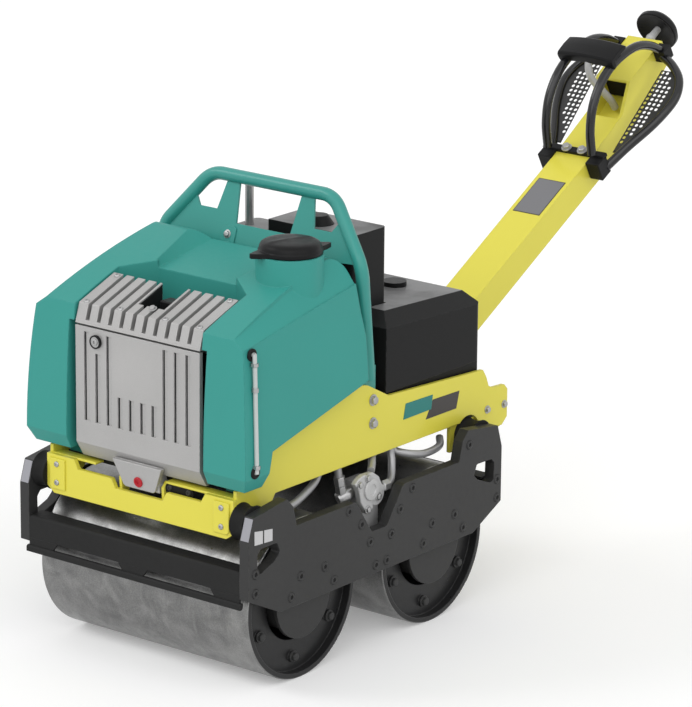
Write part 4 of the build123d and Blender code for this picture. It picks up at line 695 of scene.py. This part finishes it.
# %% Perforated guards
GUARD_PLACE, GUARD_TURN = (891.9, 0, 16), BAR_TURN + np.radians(13.2)
PITCH, HOLE, AROUND = 14.65, 5.0, 16
ROWS, COLUMNS = 6, 21
FIRST_ALONG, FIRST_OUT, SKEW = 2.95, 91.2, 0.0376
SHEET_FROM, SHEET_TO, HOLES_TO = 6, 292, 285
UNDER_BOW, WHOLE_RIM = 2, 26
BOW_EDGE = np.array([(0, 105), (33.1, 118), (115, 156), (187.2, 177), (232.9, 175), (275, 155),
                     (301, 126)], float)


def on_guard(points):
    """Row-frame metres of points (along the guard, left, above it)."""
    along, left, above = np.moveaxis(np.asarray(points, float), -1, 0)
    x = along * -np.cos(GUARD_TURN) + above * np.sin(GUARD_TURN)
    z = along * np.sin(GUARD_TURN) + above * np.cos(GUARD_TURN)
    return on_bar(GUARD_PLACE) + np.stack([x, left, z], -1) / 1000


def sheet_cells():
    """Middles of the cells with a hole and of those without. Cells stand in square rows that run slightly
    off the guard's length; they end under the bow, and those close to it have no hole."""
    row, column = np.meshgrid(np.arange(ROWS), np.arange(COLUMNS), indexing="ij")
    along = FIRST_ALONG + column * PITCH
    outward = FIRST_OUT + row * PITCH + SKEW * along
    limit = np.interp(along, BOW_EDGE[:, 0], BOW_EDGE[:, 1], left=0, right=0)
    kept = (outward < limit + UNDER_BOW) & (along > SHEET_FROM) & (along < SHEET_TO)
    holed = kept & (outward < limit - WHOLE_RIM) & (along < HOLES_TO)
    middles = np.stack([along, outward], -1)
    return middles[holed], middles[kept & ~holed]


def perforated(cells, plain):
    """Flat sheet of cells. One with a hole is a ring of points on the border of its square and one on the
    hole; one without is the border's ring closed by one face. Points that meet are made one."""
    turn = np.arange(AROUND) * 2 * np.pi / AROUND
    ring = np.column_stack([np.cos(turn), np.sin(turn)])
    square = ring / np.abs(ring).max(axis=1, keepdims=True) * PITCH / 2
    square[:, 1] += SKEW * square[:, 0]
    outer = (cells[:, None] + square[None]).reshape(-1, 2)
    inner = (cells[:, None] + HOLE * ring[None]).reshape(-1, 2)
    whole = (plain[:, None] + square[None]).reshape(-1, 2)
    start = np.repeat(np.arange(len(cells)) * AROUND, AROUND)
    step = np.tile(np.arange(AROUND), len(cells))
    after = start + (step + 1) % AROUND
    web = np.stack([start + step, after, after + len(outer), start + step + len(outer)], -1).tolist()
    base = 2 * len(outer) + np.arange(len(plain)) * AROUND
    web += (base[:, None] + np.arange(AROUND)).tolist()
    flat = np.vstack([outer, inner, whole]).round(3)
    flat, shared = np.unique(flat, axis=0, return_inverse=True)
    return flat, [shared.ravel()[face].tolist() for face in web]


flat, web = perforated(*sheet_cells())
for hand, sign in (("left", 1), ("right", -1)):
    form = (on_guard(np.insert(flat * [1, sign], 2, 0, axis=1)), web)
    sheet = piece(f"perforated_guard_{hand}", form, "steel_dark", "drawbar", thick=0.002)
    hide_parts(f"guard_{hand}")

# %% [markdown]
# ## Blank signs
# The makers of such machines rivet or stick signs on them. Here the plates stay, in their colours, and
# are left blank.

# %% Blank signs
SIGN_FACE, LABEL_FACE = 290.9, 357.9
SIGN_DARK = [(-264, 510), (-292, 555), (-400, 553), (-388, 510)]
SIGN_TEAL = [(-174, 531), (-183, 570), (-291, 568), (-285, 532)]
LABELS = [[(470, 426), (470, 392), (440, 390), (440, 421)], [(435, 421), (435, 390), (405, 388), (405, 417)]]


def sign_on_side(outline, y, thickness):
    """Plate on the left face at y from its corners (forward, up)."""
    corners = np.array(outline, float) * [-1, 1]
    area = np.sum(corners[:, 0] * np.roll(corners[:, 1], -1) - np.roll(corners[:, 0], -1) * corners[:, 1])
    return stamp(slab(corners if area > 0 else corners[::-1], thickness), at([(0, y, 0)]), LEFT)


dark_sign = sign_on_side(SIGN_DARK, SIGN_FACE, 0.8)
piece("side_sign_dark", dark_sign, "sign_dark", "chassis", soften=0.0003)
teal_sign = sign_on_side(SIGN_TEAL, SIGN_FACE, 1.4)
piece("side_sign_teal", teal_sign, "sign_teal", "chassis", soften=0.0003)
labels = joined(*[sign_on_side(outline, LABEL_FACE, 0.6) for outline in LABELS])
piece("end_labels", labels, "sign_pale", "chassis", soften=0.0002)
bevel_out = np.array([57, 0, 18], float)
strip_places = at([(481, 344, 430.4), (481, -344, 430.4)])
strips = stamp(slab(oblong(-12, 12, -27, 27), 0.8), strip_places, bevel_out)
piece("end_reflectors", strips, "sign_silver", "chassis", soften=0.0002)
bar_face = on_bar([(673, 0, 39.9)])
bar_up = np.array([np.sin(BAR_TURN), 0, np.cos(BAR_TURN)])
BAR_SIGN = oblong(-43, 43, -67, 67)
sign_edge = stamp(slab(BAR_SIGN, 0.8), bar_face, bar_up)
piece("bar_sign_edge", sign_edge, "sign_dark", "drawbar", soften=0.0003)
bar_sign = stamp(slab(BAR_SIGN * [0.95, 0.967], 1.2), bar_face, bar_up)
piece("bar_sign", bar_sign, "sign_grey", "drawbar", soften=0.0003)

# %% [markdown]
# ## Scrapers
# A scraper beam is sheet folded over at the top, with three feet along its lower edge. The feet hold a
# rubber blade that wipes the drum. The light shows between the feet.

# %% Scrapers
FOLD = np.array([(490, 268), (490, 318), (488.5, 322.5), (485, 325.5), (480, 326), (444, 326), (444, 321),
                 (479, 321), (483, 320), (485, 316), (485, 268)])
BLADE = np.array([(495, 234), (495, 246), (491, 250), (484, 250), (484, 240), (489, 234)])
FEET = [[(-330, 250), (-253, 250), (-240, 268), (-330, 268)], [(-33, 250), (33, 250), (46, 268), (-46, 268)],
        [(253, 250), (330, 250), (330, 268), (240, 268)]]
FOLD_HALF, BLADE_HALF, FOOT_FACE, FOOT_THICKNESS = 330, 336, 485, 5.0
for end, sign in (("front", 1), ("rear", -1)):
    feet = [stamp(slab(foot, FOOT_THICKNESS), at([(sign * FOOT_FACE, 0, 0)]), (sign, 0, 0)) for foot in FEET]
    fold = joined(sign_on_side(FOLD * [sign, 1], -FOLD_HALF, 2 * FOLD_HALF), *feet)
    beam = piece(f"{end}_beam_fold", fold, "strip_dark", "chassis", soften=0.0006)
    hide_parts(f"{end}_scraper_beam")
    lip = sign_on_side(BLADE * [sign, 1], -BLADE_HALF, 2 * BLADE_HALF)
    blade = piece(f"{end}_scraper_blade", lip, "strip_dark", "chassis", soften=0.0008)
    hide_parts(f"{end}_scraper_strip")

# %% [markdown]
# ## Cover tab and dark slots
# The cover's tab hangs in the bumper's notch, narrower below, with a red plug. The slots of the hood
# are deep and unlit, so a dark sheet of painted shade follows each floor, and the notch is lined with
# painted shade in the same way. Thin dark lines of painted shade stand at the grooves of the lower casting.

# %% Cover tab
tab_out = np.array([51, 0, -8], float)
TAB = [(-44, -33), (44, -33), (50, -27), (76, 33), (-76, 33), (-50, -27)]
tab_form = stamp(slab(TAB, 14.0), at([(455, 0, 486)]), tab_out)
piece("cover_tab", tab_form, "cast_aluminium", "front_cover", soften=0.0015)
PLUG = lathe([(-2, 13), (2.5, 13), (3.5, 12), (3.5, 7.5), (2, 7), (2, 4, 1), (0.5, 3.8, 1)])
plug = piece("ring_plug", stamp(PLUG, at([(466.4, 0, 471)]), tab_out), "plug_red", "front_cover")
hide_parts("tab_plug")

# %% Dark slots
# Dark sheets on the floors of the hood's slots are painted shade.
SLOT_SHADE = [(446.8, 838.4), (437.6, 857.4), (331.5, 903.4), (331.5, 905.4), (438.8, 858.9), (449, 838.4)]
SHORT_SLOT_SHADE = [(446.8, 838.4), (437.6, 857.4), (419, 865.6), (419, 867.4), (438.8, 858.9), (449, 838.4)]
SLOT_WIDTH, NOTCH_HALF = 11.8, 40
rows = (np.arange(10) - 4.5) * RIB
slot_shades = [
    sign_on_side(SHORT_SLOT_SHADE if abs(y) < NOTCH_HALF else SLOT_SHADE, y - SLOT_WIDTH / 2, SLOT_WIDTH) for y in rows
]
piece("slot_painted_shade", joined(*slot_shades), "engine_dark", "chassis")
# Dark sheets on the sides and floor of the hood's notch are painted shade.
NOTCH_SHADE_SIDE, NOTCH_SHADE_THICKNESS = [(333, 857), (416, 857), (416, 886), (333, 917)], 1.2
notch_shade_floor = slab(oblong(-41, 41, -39, 39), NOTCH_SHADE_THICKNESS)
notch_shades = joined(sign_on_side(NOTCH_SHADE_SIDE, -39.9, NOTCH_SHADE_THICKNESS), sign_on_side(NOTCH_SHADE_SIDE, 38.7, NOTCH_SHADE_THICKNESS),
               stamp(notch_shade_floor, at([(375, 0, 857)]), ABOVE, up=LEFT))
piece("notch_painted_shade", notch_shades, "engine_dark", "chassis")
# Thin dark strips on one wall of each groove of the lower casting are painted shade.
GROOVE_HALF, GROOVE_FOOT, GROOVE_FACE, BESIDE_ROW = 1.7, 592.5, 466, 6
FULL_TOP, FIELD_TOP, LOCK_TOP = 811.0, 668.0, 762.0
FIELD_HALF, LOCK_ROW = 72, -122.2
tops = np.where(np.abs(rows) < FIELD_HALF, FIELD_TOP, FULL_TOP)
tops[np.abs(rows - LOCK_ROW) < 1] = LOCK_TOP
lines = []
for y, top in zip(rows, tops):
    line = slab(oblong(-GROOVE_HALF, GROOVE_HALF, GROOVE_FOOT, top), 0.5)
    lines.append(stamp(line, at([(GROOVE_FACE, y - BESIDE_ROW, 0)]), FRONT))
piece("groove_shade_lines", joined(*lines), "engine_dark", "front_cover")

# %% [markdown]
# ## The bows
# Two bows of bent tube guard the hands on each side of the head: one stands up over the bar, the other
# runs round the edge of the perforated guard. Each is a round bar on a smooth curve.

# %% The bows
BOW_RADIUS, UPPER_OUT = 0.0122, 71
UPPER_PATH = np.array([(838, 62), (862, 124.9), (904.9, 178.1), (968, 210), (1040.1, 215.9), (1125.2, 195),
                       (1185.1, 152.1), (1230.4, 93)])
SIDE_PATH = np.array([(-38, 89), (33.1, 117.8), (115, 156), (187.2, 176.9), (232.9, 174.9), (275, 154.8),
                      (310.9, 115), (332.1, 74.9)])
for hand, sign in (("left", 1), ("right", -1)):
    upper = on_bar(np.insert(UPPER_PATH, 1, sign * UPPER_OUT, axis=1))
    side = on_guard(np.insert(SIDE_PATH * [1, sign], 2, 0, axis=1))
    bows = joined(tube(smooth(upper), BOW_RADIUS), tube(smooth(side), BOW_RADIUS))
    bow = piece(f"bow_tubes_{hand}", bows, "tube_black", "drawbar")
    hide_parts(f"handle_bow_{hand}")

# %% [markdown]
# ## The clamp, the lever and the knob
# The bows come out of a cross clamp on the bar, held by two bolts. Between them stands the travel lever,
# bent forward, under a wide palm grip. The stop knob is a thick turned disc on a bright tapered stem.

# %% The clamp
bar_along = np.array([-np.cos(BAR_TURN), 0, np.sin(BAR_TURN)])
CROSS, BLOCK = oblong(-98, 98, 40, 51), oblong(56, 98, -8, 46)
CROSS_LENGTH, BLOCK_LENGTH = 20.0, 42.0
block_place = on_bar([(818, 0, 0)])
clamp = joined(stamp(slab(CROSS, CROSS_LENGTH), on_bar([(846, 0, 0)]), bar_along, up=bar_up),
               stamp(slab(BLOCK, BLOCK_LENGTH), block_place, bar_along, up=bar_up),
               stamp(slab(mirrored(BLOCK), BLOCK_LENGTH), block_place, bar_along, up=bar_up))
cross = piece("cross_clamp", clamp, "plastic_black", "drawbar", soften=0.002)
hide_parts("lower_clamp")
clamp_places = on_bar([(857, y, 51) for y in (-25, 25)])
piece("clamp_bolts", stamp(HEX_BOLT, clamp_places, bar_up), "steel_bright", "drawbar")

# %% The grip, the lever and the knob
GRIP = np.array([(1004, 238), (1004, 246), (1010, 252), (1040, 254), (1070, 252), (1077, 246), (1074, 240),
                 (1020, 240), (1016, 222), (1008, 220)])[::-1]
GRIP_HALF, GRIP_LIFT, GRIP_DROOP, GRIP_RINGS = 88, 3, 8, 13


def grip_form():
    """The grip's outline carried across the bar, lifted in the middle and lower towards the ends by the
    square of the distance from the middle."""
    reach = np.linspace(-GRIP_HALF, GRIP_HALF, GRIP_RINGS)
    grid = np.broadcast_arrays(GRIP[None, :, 0], reach[:, None], GRIP[None, :, 1])
    sweep = np.stack(grid, -1).astype(float)
    sweep[..., 2] += GRIP_LIFT - GRIP_DROOP * (sweep[..., 1] / GRIP_HALF) ** 2
    return on_bar(sweep).reshape(-1, 3), capped(GRIP_RINGS, len(GRIP))


grip = piece("palm_grip", grip_form(), "plastic_black", "drawbar", soften=0.0015)
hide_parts("lever_grip")
LEVER = [(1024, 0, 238), (1006, 0, 200), (1008, 0, 165), (1030, 0, 110), (1050, 0, 60), (1056, 0, 30)]
LEVER_RADIUS = 0.01
rod = tube(smooth(on_bar(LEVER)), LEVER_RADIUS)
lever = piece("bent_lever", rod, "cast_grey", "drawbar")
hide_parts("travel_lever")
works = stamp(slab(oblong(-44, 44, 32, 92), 28.0), on_bar([(1100, 0, 0)]), bar_along, up=bar_up)
piece("lever_works", works, "engine_dark", "drawbar", soften=0.002)
KNOB = lathe([(0, 8), (60, 8), (59, 38), (50, 54), (48, 58), (50, 61), (62, 61), (74, 52), (84, 30), (89, 8)],
             sides=48)
STEM = lathe([(0, 13), (3, 13), (4, 11), (16, 10.6), (17, 12.4), (24, 12.4), (25, 10.4), (62, 9.2)])
knob_place = on_bar([(1254, 0, 95)])
knob_form = stamp(KNOB, knob_place, bar_along)
knob = piece("turned_knob", knob_form, "plastic_black", "drawbar")
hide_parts("stop_knob")
piece("knob_stem", stamp(STEM, knob_place, bar_along), "cast_grey", "drawbar")

# %% [markdown]
# ## Pipes and fittings in the notch
# Oil reaches the drive motor through bent steel pipes under the engine bed. They are round bars on
# smooth curves, with hexagon fittings at their ends. The motor's cast front is an outline raised into a
# plate, with a boss and four bolts.

# %% Pipes
PIPE_RADIUS = 0.0095
ROUTES = {
    "front_pipe": [(296, 300, 423), (281, 300, 424), (242, 296, 428), (190, 284, 436), (145, 272, 446),
                   (122, 266, 462), (114, 264, 484)],
    "middle_pipe": [(58, 272, 484), (57, 274, 457), (50, 275, 417), (42, 276, 396)],
    "motor_pipe": [(-80, 270, 484), (-73, 275, 462), (-49, 294, 452), (-24, 311, 443)],
    "rear_pipe": [(-152, 270, 484), (-151, 272, 453), (-147, 278, 433), (-132, 290, 408), (-112, 302, 396),
                  (-86, 312, 393), (-66, 314, 393)],
    "long_pipe": [(-165, 262, 462), (-172, 270, 449), (-186, 286, 443), (-210, 298, 437), (-245, 301, 430),
                  (-290, 296, 427), (-332, 284, 428), (-352, 268, 440)],
}
pipes = [tube(at(smooth(route)), PIPE_RADIUS) for route in ROUTES.values()]
piece("oil_pipes", joined(*pipes), "pipe_grey", "chassis")
PIPE_NUT = lathe([(-11, 12.5, 1), (11, 12.5, 1), (13, 11), (13.4, 9.8)])
ELBOW = lathe([(-20, 12), (-17, 15.5), (10, 16.5), (20, 14), (24, 9.6)])
pipe_nuts = joined(
    stamp(PIPE_NUT, at([(52, 275, 428), (46, 275, 404)]), (0.2, 0, 0.98), up=LEFT),
    stamp(PIPE_NUT, at([(-76, 313, 393)]), FRONT),
    stamp(ELBOW, at([(38, 278, 388)]), (-0.8, 0.45, 0.4), up=ABOVE),
)
piece("pipe_nuts", pipe_nuts, "steel_bright", "chassis")

# %% The motor's front
MOTOR_OUTLINE = [(52, 427), (41, 437), (21, 444), (-17, 443), (-40, 427), (-53, 401), (-75, 399), (-75, 387),
                 (-53, 385), (-53, 369), (-18, 369), (-19, 351), (5, 342), (30, 377), (36, 407)]
MOTOR_BACK, MOTOR_THICKNESS = 308, 16.0
motor = sign_on_side(MOTOR_OUTLINE, MOTOR_BACK, MOTOR_THICKNESS)
piece("motor_front", motor, "cast_grey", "chassis", soften=0.0025)
BOSS = lathe([(-2, 27), (4, 27), (6, 25), (6.4, 14), (3.2, 12.5)])
piece("motor_boss", stamp(BOSS, at([(-8, 324, 402)]), LEFT), "cast_grey", "chassis")
motor_bolts = at([(36, 324, 424), (-36, 324, 378), (4, 324, 354), (6, 324, 434)])
piece("motor_bolts", stamp(SMALL_BOLT, motor_bolts, LEFT), "steel_bright", "chassis")

# %% [markdown]
# ## Under the hood's notch, and the hoop's panel
# A dark box shows deep in the notch of the hood. The hoop's panel has a small tab with a bolt.

# %% Notch and panel
LID = [(-20, -25), (20, -25), (20, 20), (15, 25), (-15, 25), (-20, 20)]
notch_box = stamp(slab(LID, 35.0), at([(354, 12, 858)]), ABOVE, up=LEFT)
piece("notch_box", notch_box, "plastic_black", "chassis", soften=0.004)
panel_out = np.array([147, 0, 47], float)
PANEL_TAB = [(-22, -22), (22, -22), (22, 14), (14, 20), (-14, 20), (-22, 14)]
panel_tab = stamp(slab(PANEL_TAB, 3.0), at([(18.5, -99, 970)]), panel_out)
piece("panel_tab", panel_tab, "hoop_teal", "chassis", soften=0.0008)
panel_bolt = stamp(SMALL_BOLT, at([(21.5, -101, 969)]), panel_out)
piece("panel_bolt", panel_bolt, "steel_bright", "chassis")
